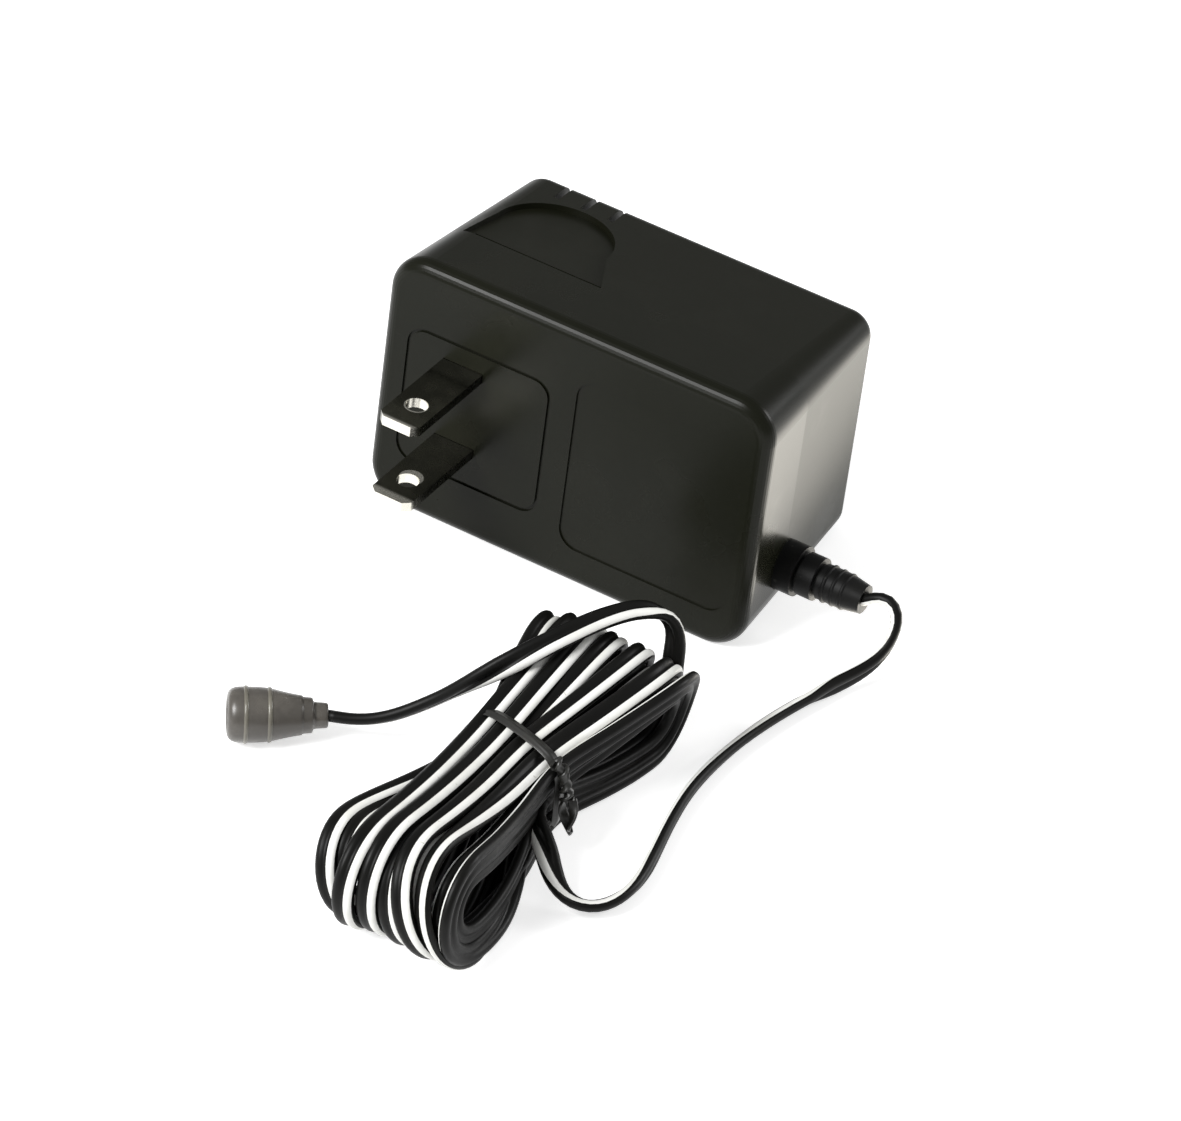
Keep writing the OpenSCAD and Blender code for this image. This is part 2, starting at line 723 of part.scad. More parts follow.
module strain_relief() {
    x0 = case_w / 2 + slip;
    color("#1b1b1a") translate([0, 0, relief_z]) union() {
        translate([relief_x0, -relief_flange / 2, -relief_flange / 2])
            cube([relief_in, relief_flange, relief_flange]);
        cylinder_x(relief_neck_d, relief_x0 + relief_in - eps, x0 + 1);
        cylinder_x(relief_d, x0, x0 + 2.9);
        cylinder_x(relief_d - 2.6, x0 + 2.9 - eps, x0 + 3.4);
        cylinder_x(relief_d - 1.1, x0 + 3.4 - eps, x0 + 5.8);
        cylinder_x(relief_d - 2.8, x0 + 5.8 - eps, x0 + 6.3);
        cylinder_x(relief_d - 2.2, x0 + 6.3 - eps, x0 + 10);
        translate([x0 + 10 - eps, 0, 0]) rotate([0, 90, 0])
            cylinder(d1 = relief_d - 2.2, d2 = relief_d - 3.2, h = relief_x1 - x0 - 10 + eps);
    }
}

module cord_lead() {
    p = concat([laid_point(cord_exit)], lead_route, [lead_end]);
    color("#171717") sweep(smooth_route(p, steps), flat_section(cord_w, cord_t), facing,
        [1, 0, 0], [-1, 0, 0]);
}

module cord_tail() {
    away = [0, cos(tail_a), sin(tail_a)];
    p = concat([tail_start + slip * away], tail_route, [plug_at]);
    color("#171717") sweep(smooth_route(p, steps), flat_section(cord_w, cord_t), [0, -0.5, 0.85],
        away, [cos(plug_turn), sin(plug_turn), 0]);
}

module hank_plan() {
    y0 = hank_y0;
    y1 = hank_y1;
    half = hank_w / 2;
    right = waist_x - hank_x + waist_w / 2;
    left = waist_x - hank_x - waist_w / 2;
    for (s = [-1, 1]) {
        translate([s * (half - lobe_r), y0 + lobe_r]) circle(lobe_r);
        translate([s * (half - lobe_r), y1 - lobe_r]) circle(lobe_r);
    }
    polygon([[lobe_r - half, y0], [half - lobe_r, y0], [half, y0 + lobe_r], [half, y0 + lobe_l],
        [right, waist_y - waist_half], [right, waist_y + waist_half], [half, y1 - lobe_l], [half, y1 - lobe_r],
        [half - lobe_r, y1], [lobe_r - half, y1], [-half, y1 - lobe_r], [-half, y1 - lobe_l],
        [left, waist_y + waist_half], [left, waist_y - waist_half],
        [-half, y0 + lobe_l], [-half, y0 + lobe_r]]);
}

module hank_side() {
    rn = near_h / 2;
    rf = far_h / 2;
    translate([hank_y0 + rn, rn]) circle(rn);
    translate([hank_y1 - rf, rf]) circle(rf);
    polygon([[hank_y0 + rn, 0], [waist_y - 2 * dip_half, 0], [waist_y - dip_half, waist_z],
        [waist_y + dip_half, waist_z], [waist_y + 2 * dip_half, 0], [hank_y1 - rf, 0], [hank_y1 - rf, far_h],
        [waist_y + dip_half, waist_h], [waist_y - dip_half, waist_h], [hank_y0 + rn, near_h]]);
}

module cord_hank() {
    color("#1a1a1a") intersection() {
        translate([hank_x, 0, -1]) linear_extrude(near_h + 2) hank_plan();
        translate([hank_x, 0, 0]) rotate([90, 0, 90]) linear_extrude(hank_w + 2, center = true) hank_side();
    }
}

module cord_tie() {
    w = waist_w + 2 * tie_gap;
    h = waist_h - waist_z + 2 * tie_gap;
    x1 = waist_x + w / 2 + tie_t;
    color("#2a2a28") union() {
        translate([waist_x, waist_y + tie_w / 2, waist_z - tie_gap + h / 2]) rotate([90, 0, 0])
            linear_extrude(tie_w) difference() {
                rounded(w + 2 * tie_t, h + 2 * tie_t, tie_t);
                square([w, h], center = true);
            }
        translate([0, waist_y, waist_z + 7]) cylinder_x(2, x1 - tie_t / 2, x1 + 1.4);
        translate([x1 + 0.7, waist_y, waist_z + 7 - loop_r - 1]) rotate([0, 90, 0]) rotate_extrude()
            translate([loop_r, 0]) circle(d = loop_d);
    }
}

// The connector's own frame: X runs from the neck to the mouth
module at_plug() {
    translate(plug_at) rotate([0, 0, plug_turn]) children();
}

module connector_body() {
    r = socket_d / 2;
    ring = 0.35;
    color("#333330") at_plug() rotate([0, 90, 0]) difference() {
        rotate_extrude() {
            polygon([[0, 0], [1.9, 0], [2.1, 1.4], [2.1, 2.4], [2.7, 2.6], [3.4, 6], [r - 0.1, 8.4],
                [r, 9.4], [r, socket_len - 3.4], [r - mouth_in, socket_len - mouth_r],
                [r - mouth_in - mouth_r, socket_len], [0, socket_len]]);
            translate([r - mouth_in - mouth_r, socket_len - mouth_r]) circle(mouth_r);
        }
        for (z = [5.2, 7, 8.8]) {
            translate([0, 0, z]) rotate_extrude()
                translate([r + ring - (9 - z) * 0.16, 0]) circle(ring + 0.2);
        }
        translate([0, 0, socket_len - sleeve_len]) cylinder(d = socket_bore_d + 2 * sleeve_t + 2 * slip,
            h = sleeve_len + 1);
    }
}

// Local Z runs from the floor of the socket to its mouth
module in_socket() {
    at_plug() rotate([0, 90, 0]) translate([0, 0, socket_len - sleeve_len + slip]) children();
}

module contact_sleeve() {
    color("silver") in_socket() difference() {
        cylinder(d = socket_bore_d + 2 * sleeve_t, h = sleeve_len - 0.6);
        translate([0, 0, -1]) cylinder(d = socket_bore_d, h = sleeve_len + 2);
    }
}

module pin_holder() {
    color("ivory") in_socket() difference() {
        cylinder(d = socket_bore_d - 2 * slip, h = holder_len);
        translate([0, 0, -1]) cylinder(d = pin_d + 2 * slip, h = holder_len + 2);
    }
}

module centre_pin() {
    color("silver") in_socket() cylinder(d = pin_d, h = sleeve_len - pin_back);
}

laid() front_cover();
laid() rear_cover();
laid() blade_upper();
laid() blade_lower();
laid() blade_retainer();
laid() core_e_stack();
laid() core_i_stack();
laid() bobbin();
laid() primary_winding();
laid() secondary_winding();
laid() primary_tape();
laid() secondary_tape();
laid() thermal_fuse();
laid() primary_pin(0);  // primary_pin_1
laid() primary_pin(1);  // primary_pin_2
laid() secondary_pin(0);  // secondary_pin_1
laid() secondary_pin(1);  // secondary_pin_2
laid() live_lead();
laid() neutral_lead();
laid() color("red") secondary_lead(0);  // secondary_lead_1
laid() color("orange") secondary_lead(1);  // secondary_lead_2
laid() circuit_board();
laid() diode(0);  // diode_1
laid() diode(1);  // diode_2
laid() diode(2);  // diode_3
laid() diode(3);  // diode_4
laid() smoothing_capacitor();
laid() output_lead(0);  // output_lead_1
laid() output_lead(1);  // output_lead_2
laid() strain_relief();
cord_lead();
cord_hank();
cord_tail();
cord_tie();
connector_body();
contact_sleeve();
pin_holder();
centre_pin();
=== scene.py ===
# %% [markdown]
# # A plug-in mains adapter with its lead tied in a hank
#
# The adapter is a black moulded case that lies on its long side. Two flat
# blades stand out of its front, and a thin flat twin lead, black with a white
# stripe along one core, leaves its right end, is wound in a hank and ends in a
# small barrel connector. The case, the blades and all that is inside come from
# the solid model, which stays exactly where it is. This script adds what soft
# and fine parts need: the wound lead, its tie, the ribbed rubber pieces, and a
# finish for every surface. All lengths are in metres.

# %% Load the solid model
import math

import bmesh
import bpy
from mathutils import Matrix, Vector


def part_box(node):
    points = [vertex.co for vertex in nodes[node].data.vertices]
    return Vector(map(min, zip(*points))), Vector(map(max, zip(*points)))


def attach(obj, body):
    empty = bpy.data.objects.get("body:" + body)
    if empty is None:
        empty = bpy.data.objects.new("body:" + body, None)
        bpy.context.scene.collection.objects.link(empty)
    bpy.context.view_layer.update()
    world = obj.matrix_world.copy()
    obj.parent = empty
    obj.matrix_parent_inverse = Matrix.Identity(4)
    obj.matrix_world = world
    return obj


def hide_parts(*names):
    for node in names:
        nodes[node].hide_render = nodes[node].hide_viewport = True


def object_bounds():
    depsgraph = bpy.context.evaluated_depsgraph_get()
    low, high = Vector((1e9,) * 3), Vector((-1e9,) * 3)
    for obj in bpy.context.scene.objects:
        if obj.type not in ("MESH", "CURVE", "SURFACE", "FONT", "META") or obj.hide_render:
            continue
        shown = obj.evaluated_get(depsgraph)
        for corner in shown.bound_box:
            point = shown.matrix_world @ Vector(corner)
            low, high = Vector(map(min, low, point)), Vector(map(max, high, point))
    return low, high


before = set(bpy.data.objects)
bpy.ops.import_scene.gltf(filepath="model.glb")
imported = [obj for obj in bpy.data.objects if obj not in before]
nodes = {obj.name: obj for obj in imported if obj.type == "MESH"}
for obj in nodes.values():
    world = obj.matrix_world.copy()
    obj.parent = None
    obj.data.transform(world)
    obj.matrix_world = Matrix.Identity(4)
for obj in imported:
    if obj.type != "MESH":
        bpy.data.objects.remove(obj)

cad_box = [list(corner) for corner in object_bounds()]
MM = 0.001
print("solid nodes:", len(nodes), "box:", [[round(v, 4) for v in c] for c in cad_box])

# %% [markdown]
# ## The camera
#
# The photograph looks down on the adapter from the front right, from about a
# metre away, through a long lens. A camera can be placed by eye, but here its
# three axes were solved from the case's edges, so they are written down as a
# rotation and a place.

# %% Camera
CAMERA_AT = (0.36151, -0.68979, 0.64155)
CAMERA_RIGHT = (0.85158, 0.51951, 0.07014)
CAMERA_DOWN = (0.38158, -0.52256, -0.76245)
CAMERA_AHEAD = (-0.35945, 0.67605, -0.64324)
FOCAL_PIXELS = 7164.65
PHOTO_WIDTH = 1181

camera_data = bpy.data.cameras.new("studio_camera")
camera_data.sensor_width = 36.0
camera_data.lens = FOCAL_PIXELS / PHOTO_WIDTH * 36.0
camera_data.clip_start = 0.01
camera_data.clip_end = 20.0
camera = bpy.data.objects.new("studio_camera", camera_data)
axes = Matrix((CAMERA_RIGHT, [-v for v in CAMERA_DOWN], [-v for v in CAMERA_AHEAD])).transposed()
camera.matrix_world = Matrix.Translation(CAMERA_AT) @ axes.to_4x4()
bpy.context.scene.collection.objects.link(camera)
bpy.context.scene.camera = camera
print("lens:", round(camera_data.lens, 1), "mm")

# %% [markdown]
# ## Helpers for meshes
#
# Most added pieces are a section carried along a line. One helper makes a
# mesh object from points and faces, with its place in the mesh and the object
# at the origin, as the solid nodes have it. A second one gives a point on a
# smooth curve through given points, the same curve that the solids use,
# so the visible lead lies where the solid lead lies.


# %% Mesh and curve helpers
def make_piece(name, points, faces, smooth=True):
    mesh = bpy.data.meshes.new(name)
    mesh.from_pydata([tuple(p) for p in points], [], faces)
    work = bmesh.new()
    work.from_mesh(mesh)
    bmesh.ops.remove_doubles(work, verts=work.verts, dist=1e-7)
    bmesh.ops.recalc_face_normals(work, faces=work.faces)
    work.to_mesh(mesh)
    work.free()
    for face in mesh.polygons:
        face.use_smooth = smooth
    piece = bpy.data.objects.new(name, mesh)
    bpy.context.scene.collection.objects.link(piece)
    return piece


def between(a, b, c, d, t):
    return b + 0.5 * t * ((c - a) + t * ((2 * a - 5 * b + 4 * c - d) + t * (3 * b - a - 3 * c + d)))


def smooth_line(points, steps):
    pts = [Vector(p) for p in points]
    line = []
    for i in range(len(pts) - 1):
        a, b, c, d = pts[max(i - 1, 0)], pts[i], pts[i + 1], pts[min(i + 2, len(pts) - 1)]
        line += [between(a, b, c, d, k / steps) for k in range(steps)]
    return line + [pts[-1]]


def line_length(line):
    return sum((b - a).length for a, b in zip(line, line[1:]))


def evenly(line, spacing):
    total = line_length(line)
    count = max(2, round(total / spacing))
    out, i, walked = [line[0].copy()], 0, 0.0
    for k in range(1, count):
        goal = total * k / count
        while walked + (line[i + 1] - line[i]).length < goal:
            walked += (line[i + 1] - line[i]).length
            i += 1
        step = line[i + 1] - line[i]
        out.append(line[i] + step * ((goal - walked) / step.length))
    return out + [line[-1].copy()]


def relaxed(line, passes):
    """Ease small kinks out of a line, with its two ends held."""
    for _ in range(passes):
        line = [line[0]] + [(a + b * 2 + c) / 4 for a, b, c in zip(line, line[1:], line[2:])] + [line[-1]]
    return line


def nearest(line, point):
    return min(range(len(line)), key=lambda i: (line[i] - Vector(point)).length)


# %% [markdown]
# ## The lead's way from the case to the connector
#
# The lead is one length of flat twin cable. It leaves the rubber strain
# relief, drops to the table, runs round the front and goes into the hank. Twelve
# turns make the hank, and the far end comes out of its rear lobe, bends over
# and ends in the connector. A curve object could follow these points, but a
# mesh swept along them keeps the section flat and lets the white stripe turn
# with it, where the real one does.

# %% The two free ends of the lead
CORD_W = 3.2 * MM
CORD_T = 1.6 * MM
EDGE_Z = 1.824
EXIT = (42.7, -9.318, 8.573)
LEAD_ROUTE = [
    (44, -9.3, 9.2), (45.2, -9, 10.6), (46.6, -8.9, 11), (47.8, -9, 10), (48.5, -10, 7.8),
    (48.5, -12.4, 4.8), (47.4, -15.4, 3), (45.3, -19.6, 2.1), (42.8, -26, EDGE_Z), (40.8, -34, EDGE_Z),
    (39.7, -42, EDGE_Z), (39.6, -50, EDGE_Z), (40.9, -58, EDGE_Z), (42.6, -65, EDGE_Z),
    (43.4, -70, EDGE_Z), (42.9, -75, EDGE_Z), (40.6, -78.4, EDGE_Z), (37.2, -78.8, 2.3),
    (34.2, -77, 3.6), (32, -74.8, 4.9), (30.2, -73, 5.8), (28.1, -72.4, 6.2)]
TAIL_ROUTE = [
    (29.5, -39.483, 12.903), (29.4, -38.2, 14), (29, -37.4, 15.6), (28.2, -37.2, 17.2), (26.6, -38, 18.6),
    (24.4, -40.2, 19.3), (21.3, -45.2, 19.3), (18.5, -51, 18.7), (13.1, -57.6, 15), (6, -61, 8.4),
    (0.5, -64.8, 4.8), (-3.6, -67, 3.9), (-6.6, -68.2, 4)]

# %% [markdown]
# ## The turns of the hank
#
# Each turn is a long loop that stands on its edge: a round lobe at each end,
# and a waist in the middle where the tie pulls all turns together. On the
# real hank the strands lie side by side at the lobes and in layers at the
# waist, and both lobes lean over a little. A loop over one row of numbers a
# turn is the shortest way to say that: where it passes the waist above and
# below, and how far out, how round and how high each lobe is. The first rows
# are the small turns that lie inside the others on the right.

# %% One row for each turn
# above the waist: x, z; near lobe: x, y of its end, radius, lift, lean;
# far lobe: x, y of its end, radius, lift; below the waist: x, z
TIE_Y = -66.0
TURNS = [
    (27.3, 7.4, 31.3, -97.6, 4.7, 3.1, -0.12, 32.2, -42.2, 4.7, 2.6, 27.3, 5.6),
    (25.8, 8.6, 29.7, -98.3, 5.4, 2.3, -0.12, 30.6, -41.8, 5.1, 2.2, 25.8, 5.4),
    (27.8, 10.6, 31.9, -99.9, 7.0, 0.9, -0.12, 32.8, -40.3, 6.8, 0.6, 27.6, 2.3),
    (23.0, 9.2, 26.2, -99.4, 6.2, 1.7, -0.36, 26.4, -41.4, 5.8, 1.8, 22.8, 5.2),
    (19.8, 9.2, 22.0, -99.4, 6.1, 1.7, -0.20, 22.0, -41.6, 5.9, 1.7, 19.6, 5.2),
    (16.8, 9.0, 15.6, -99.2, 6.1, 1.6, -0.24, 16.0, -41.4, 5.9, 1.7, 16.6, 5.2),
    (16.4, 10.0, 14.0, -100.4, 6.8, 0.0, -0.36, 11.0, -40.2, 7.2, 0.0, 16.2, 3.6),
    (15.4, 11.5, 17.2, -102.1, 7.5, 0.0, -0.05, 14.1, -39.4, 7.6, 0.0, 16.4, 2.0),
    (18.8, 12.2, 20.4, -101.3, 7.8, 0.0, -0.10, 17.3, -39.3, 7.7, 0.0, 19.6, 3.6),
    (20.6, 10.7, 23.7, -100.9, 7.3, 0.0, -0.28, 20.6, -39.4, 7.6, 0.0, 19.8, 2.0),
    (22.4, 12.4, 26.6, -101.5, 7.9, 0.0, -0.42, 24.8, -39.4, 7.7, 0.0, 23.0, 3.6),
    (25.8, 12.2, 29.4, -101.0, 7.8, 0.0, -0.38, 29.4, -39.7, 7.6, 0.0, 23.2, 2.0),
]
LAST_BELOW = (25.2, 3.7)
UP_TO_THE_TAIL = [(28.6, -57, 2.4), (30.6, -48, 1.2), (30.8, -42.6, 3.4), (30.2, -40.2, 8.2)]
FAR_LEAN_TOP = 0.3
FAR_LEAN_FOOT = 0.06
STRAND = 0.8
FOOT = 0.82
# how far the way under bows to the right before turn 1, 2, 3 and all later ones
BOW = (0.0, 1.0, 1.0, 1.6, 0.4)


def lobe(x, y_end, radius, lift, side, near_lean=0.0):
    arc = []
    for k in range(7):
        a = math.radians(-90 + 30 * k) if side > 0 else math.radians(90 + 30 * k)
        rise = radius * math.sin(a)
        lean = near_lean if side < 0 else FAR_LEAN_TOP if rise > 0 else FAR_LEAN_FOOT
        along = y_end - side * radius + radius * math.cos(a)
        arc.append((x + lean * rise, along, radius + FOOT + lift + rise))
    return arc


def way_under(turn, xb, zb, bow):
    """From the foot of a turn's near lobe to the next place below the tie."""
    xn, rn, ln, tip = turn[2], turn[4], turn[5], turn[6]
    foot = xn - tip * rn
    return [(0.8 * foot + 0.2 * xb + bow, TIE_Y - 20, 0.9 + ln),
            (0.45 * foot + 0.55 * xb + bow, TIE_Y - 11, 0.5 * zb + 0.5 + 0.3 * ln)]


def hank_points():
    points = []
    for k, (xt, zt, xn, yn, rn, ln, tip, xf, yf, rf, lf, xb, zb) in enumerate(TURNS):
        if k > 0:
            points += way_under(TURNS[k - 1], xb, zb, BOW[min(k, 4)])
        points.append((xb, TIE_Y, zb))
        points.append((0.5 * (xb + xf), TIE_Y + 9, 0.35 * zb + 0.9 + 0.4 * lf))
        points += lobe(xf, yf, rf, lf, 1)
        far_top, near_top = 2 * rf + lf + STRAND, 2 * rn + ln + STRAND
        far_x, near_x = xf + FAR_LEAN_TOP * rf, xn + tip * rn
        points.append((0.5 * (xt + far_x), TIE_Y + 9, 0.5 * zt + 0.5 * far_top))
        points.append((xt, TIE_Y, zt))
        points.append((0.6 * xt + 0.4 * near_x, TIE_Y - 11, 0.80 * zt + 0.20 * near_top))
        points.append((0.15 * xt + 0.85 * near_x, TIE_Y - 21, 0.34 * zt + 0.66 * near_top))
        points += lobe(xn, yn, rn, ln, -1, tip)
    xb, zb = LAST_BELOW
    points += way_under(TURNS[-1], xb, zb, 0.0)
    points.append((xb, TIE_Y, zb))
    return points + UP_TO_THE_TAIL


route = [EXIT] + LEAD_ROUTE + hank_points() + TAIL_ROUTE
raw_line = [p * MM for p in smooth_line(route, 8)]
cord_line = relaxed(evenly(relaxed(evenly(raw_line, 1.0 * MM), 8), 1.05 * MM), 2)
print("turns:", len(TURNS), "rings:", len(cord_line), "length:", round(line_length(cord_line), 3), "m")

# %% [markdown]
# ## How the flat lead turns over
#
# A flat lead bends easily only across its thin side, so most turns of the
# hank bend that way, and the lead stands on its edge where it bends sideways
# on the table. The first three turns are set the other way, because the
# photograph shows no stripe inside the near lobe. The stripe is on one core,
# so which core faces the viewer decides whether a stretch looks striped or
# plain black. The frame is carried along the line without twist, and then
# turned between a few places where the photograph shows the striped core.


# %% Carry the section along the line
FIRST_REACH = 400
TURN_REACH = 110


def carried_frames(line):
    frames, side = [], None
    for i in range(len(line)):
        ahead = (line[min(i + 1, len(line) - 1)] - line[max(i - 1, 0)]).normalized()
        if side is None:
            side = ahead.orthogonal()
        side = (side - ahead * side.dot(ahead)).normalized()
        frames.append((ahead, side, ahead.cross(side)))
    return frames


def twist_keys(line, frames, keys):
    angles = []
    for i, wish in sorted(keys, key=lambda key: key[0]):
        ahead, side, up = frames[i]
        angle = math.atan2(Vector(wish).dot(up), Vector(wish).dot(side))
        while angles and angle - angles[-1][1] > math.pi:
            angle -= 2 * math.pi
        while angles and angle - angles[-1][1] < -math.pi:
            angle += 2 * math.pi
        angles.append((i, angle))
    out, j = [], 0
    for i in range(len(line)):
        while j + 1 < len(angles) and angles[j + 1][0] < i:
            j += 1
        (i0, a0), (i1, a1) = angles[j], angles[min(j + 1, len(angles) - 1)]
        t = min(1.0, max(0.0, (i - i0) / (i1 - i0))) if i1 > i0 else 0.0
        out.append(a0 + (a1 - a0) * t * t * (3 - 2 * t))
    return out


def way(points):
    """Places along the line, found one after the other, so that each turn gets its own."""
    found, start = [], 0
    for point in points:
        target = Vector(point) * MM
        reach = TURN_REACH if found else FIRST_REACH
        span = range(start, min(start + reach, len(cord_line)))
        best = min(span, key=lambda i: (cord_line[i] - target).length)
        found.append(best)
        start = best + 1
    return found


# %% Where the striped core lies
ON_EDGE = (0.36, -0.68, 0.64)
LEAD_RINGS = 260
TAIL_RINGS = 110
stops, wishes = [], []
for k, (xt, zt, xn, yn, rn, ln, tip, xf, yf, rf, lf, xb, zb) in enumerate(TURNS):
    stops += [(xb, TIE_Y, zb), (xf, yf, rf + lf + 0.8), (xt, TIE_Y, zt), (xn, yn, rn + ln + 0.8)]
    if k < 3:
        wishes += [(0, 0, -1), (0, 1, 0), (0, 0, 1), (0, -1, 0)]
    elif k < len(TURNS) - 1:
        wishes += [(1, 0, 0), (1, 0, 0), (1, -0.1, 0.1), (1, 0, 0)]
    else:
        wishes += [(1, 0, 0), (1, 0, 0), (1, -0.1, -0.4), (1, -0.6, 0)]
places = way(stops)
frames = carried_frames(cord_line)
lead_wishes = [(EXIT, ON_EDGE), ((47.8, -9, 10), ON_EDGE), ((45.3, -19.6, 2.1), (0.1, -0.3, 1.0)),
               ((42.8, -26, 1.8), ON_EDGE), ((42.6, -65, 1.8), (0.2, -0.4, 0.9)),
               ((40.6, -78.4, 1.8), ON_EDGE)]
tail_wishes = [((29.5, -39.5, 12.9), (1, 0, 0)), ((28.2, -37.2, 17.2), (0.9, -0.3, 0.3)),
               ((24.4, -40.2, 19.3), (0.85, -0.5, -0.1)), ((18.5, -51, 18.7), (0.8, -0.3, -0.3)),
               ((6, -61, 8.4), (-0.2, 0.6, -0.7)), ((-6.6, -68.2, 4), (-0.36, 0.68, -0.64))]
keys = [(nearest(cord_line[:LEAD_RINGS], Vector(p) * MM), w) for p, w in lead_wishes]
keys += list(zip(places, wishes))
tail_from = len(cord_line) - TAIL_RINGS
keys += [(tail_from + nearest(cord_line[tail_from:], Vector(p) * MM), w) for p, w in tail_wishes]
twist = twist_keys(cord_line, frames, keys)
print("turn-over places:", len(keys))

# %% [markdown]
# ## The section of the flat twin lead
#
# Each core is a round insulated wire, and the two are joined by a thin web,
# so the section is a figure of eight. Both cores are black, and a white
# stripe is moulded into the outer face of one of them, so that it can be told
# from the other. The faces of the stripe get a material of their own.

# %% Sweep the lead
CORE_ANGLES = (-132, -108, -84, -60, -36, -8, 26, 48, 70, 92, 116, 134)
STRIPE_FACES = range(6, 10)
WEB_HALF = 0.44 * MM
TABLE_GAP = 0.00003


def core_points(sign):
    r = CORD_T / 2
    return [(sign * (CORD_W / 2 - r + r * math.cos(math.radians(a))), r * math.sin(math.radians(a)) * sign)
            for a in CORE_ANGLES]


def sweep_cord(name, line, frames, twist):
    section = core_points(1) + [(0, WEB_HALF)] + core_points(-1) + [(0, -WEB_HALF)]
    m = len(section)
    points, faces, path = [], [], []
    for p, (ahead, side, up), a in zip(line, frames, twist):
        wide = side * math.cos(a) + up * math.sin(a)
        thin = ahead.cross(wide)
        ring = [p + wide * x + thin * y for x, y in section]
        lift = max(0.0, TABLE_GAP - min(q.z for q in ring))
        points += [q + Vector((0, 0, lift)) for q in ring]
        path.append(p + Vector((0, 0, lift)))
    for i in range(len(line) - 1):
        for k in range(m):
            a, b = i * m + k, i * m + (k + 1) % m
            faces.append((a, b, b + m, a + m))
    last = (len(line) - 1) * m
    faces += [tuple(range(m))[::-1], tuple(last + k for k in range(m))]
    piece = make_piece(name, points, faces)
    for i in range(len(line) - 1):
        for k in STRIPE_FACES:
            piece.data.polygons[i * m + k].material_index = 1
    return piece, path


cord, cord_path = sweep_cord("twin_lead", cord_line, frames, twist)
CORD_LENGTH = line_length(cord_path)
print("lead:", round(CORD_LENGTH, 3), "m,", len(cord.data.polygons), "faces, lowest",
      round(min(v.co.z for v in cord.data.vertices), 5))
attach(cord, "root")
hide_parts("cord_lead", "cord_hank", "cord_tail")

# %% [markdown]
# ## Rings that repeat along a stem
#
# The connector has two raised grip rings, and the strain relief has three
# ribs round its outer end. Each is the same ring again and again on one axis.
# Geometry Nodes fit that well: a line of points, a ring swept round once, and
# the ring set on each point, a little smaller or larger each time. The tree
# is built here once, and its named inputs make both pieces.


# %% The ring tree
def ring_tree():
    tree = bpy.data.node_groups.new("rings_on_a_stem", "GeometryNodeTree")
    face = tree.interface
    for name, kind, value in [
            ("Count", "NodeSocketInt", 2), ("First", "NodeSocketFloat", 0.001),
            ("Step", "NodeSocketFloat", 0.002), ("Radius", "NodeSocketFloat", 0.004),
            ("Shrink", "NodeSocketFloat", 0.0),
            ("Bead", "NodeSocketFloat", 0.0006), ("Place", "NodeSocketVector", None),
            ("Turn", "NodeSocketVector", None), ("Finish", "NodeSocketMaterial", None)]:
        socket = face.new_socket(name=name, in_out="INPUT", socket_type=kind)
        if value is not None:
            socket.default_value = value
    face.new_socket(name="Geometry", in_out="OUTPUT", socket_type="NodeSocketGeometry")
    made, link = tree.nodes.new, tree.links.new
    given, result = made("NodeGroupInput"), made("NodeGroupOutput")
    line = made("GeometryNodeMeshLine")
    start, step = made("ShaderNodeCombineXYZ"), made("ShaderNodeCombineXYZ")
    link(given.outputs["First"], start.inputs["Z"])
    link(given.outputs["Step"], step.inputs["Z"])
    link(given.outputs["Count"], line.inputs["Count"])
    link(start.outputs[0], line.inputs["Start Location"])
    link(step.outputs[0], line.inputs["Offset"])
    ring, bead = made("GeometryNodeCurvePrimitiveCircle"), made("GeometryNodeCurvePrimitiveCircle")
    ring.inputs["Resolution"].default_value = 72
    bead.inputs["Resolution"].default_value = 14
    link(given.outputs["Radius"], ring.inputs["Radius"])
    link(given.outputs["Bead"], bead.inputs["Radius"])
    sweep = made("GeometryNodeCurveToMesh")
    link(ring.outputs[0], sweep.inputs["Curve"])
    link(bead.outputs[0], sweep.inputs["Profile Curve"])
    index, times, less = made("GeometryNodeInputIndex"), made("ShaderNodeMath"), made("ShaderNodeMath")
    times.operation, less.operation = "MULTIPLY", "SUBTRACT"
    link(index.outputs[0], times.inputs[0])
    link(given.outputs["Shrink"], times.inputs[1])
    less.inputs[0].default_value = 1.0
    link(times.outputs[0], less.inputs[1])
    on_points = made("GeometryNodeInstanceOnPoints")
    link(line.outputs[0], on_points.inputs["Points"])
    link(sweep.outputs[0], on_points.inputs["Instance"])
    size = made("ShaderNodeCombineXYZ")
    size.inputs["Z"].default_value = 1.0
    link(less.outputs[0], size.inputs["X"])
    link(less.outputs[0], size.inputs["Y"])
    link(size.outputs[0], on_points.inputs["Scale"])
    real, move = made("GeometryNodeRealizeInstances"), made("GeometryNodeTransform")
    dress = made("GeometryNodeSetMaterial")
    link(on_points.outputs[0], real.inputs[0])
    link(real.outputs[0], move.inputs["Geometry"])
    link(given.outputs["Place"], move.inputs["Translation"])
    link(given.outputs["Turn"], move.inputs["Rotation"])
    link(move.outputs[0], dress.inputs["Geometry"])
    link(given.outputs["Finish"], dress.inputs["Material"])
    link(dress.outputs[0], result.inputs[0])
    return tree


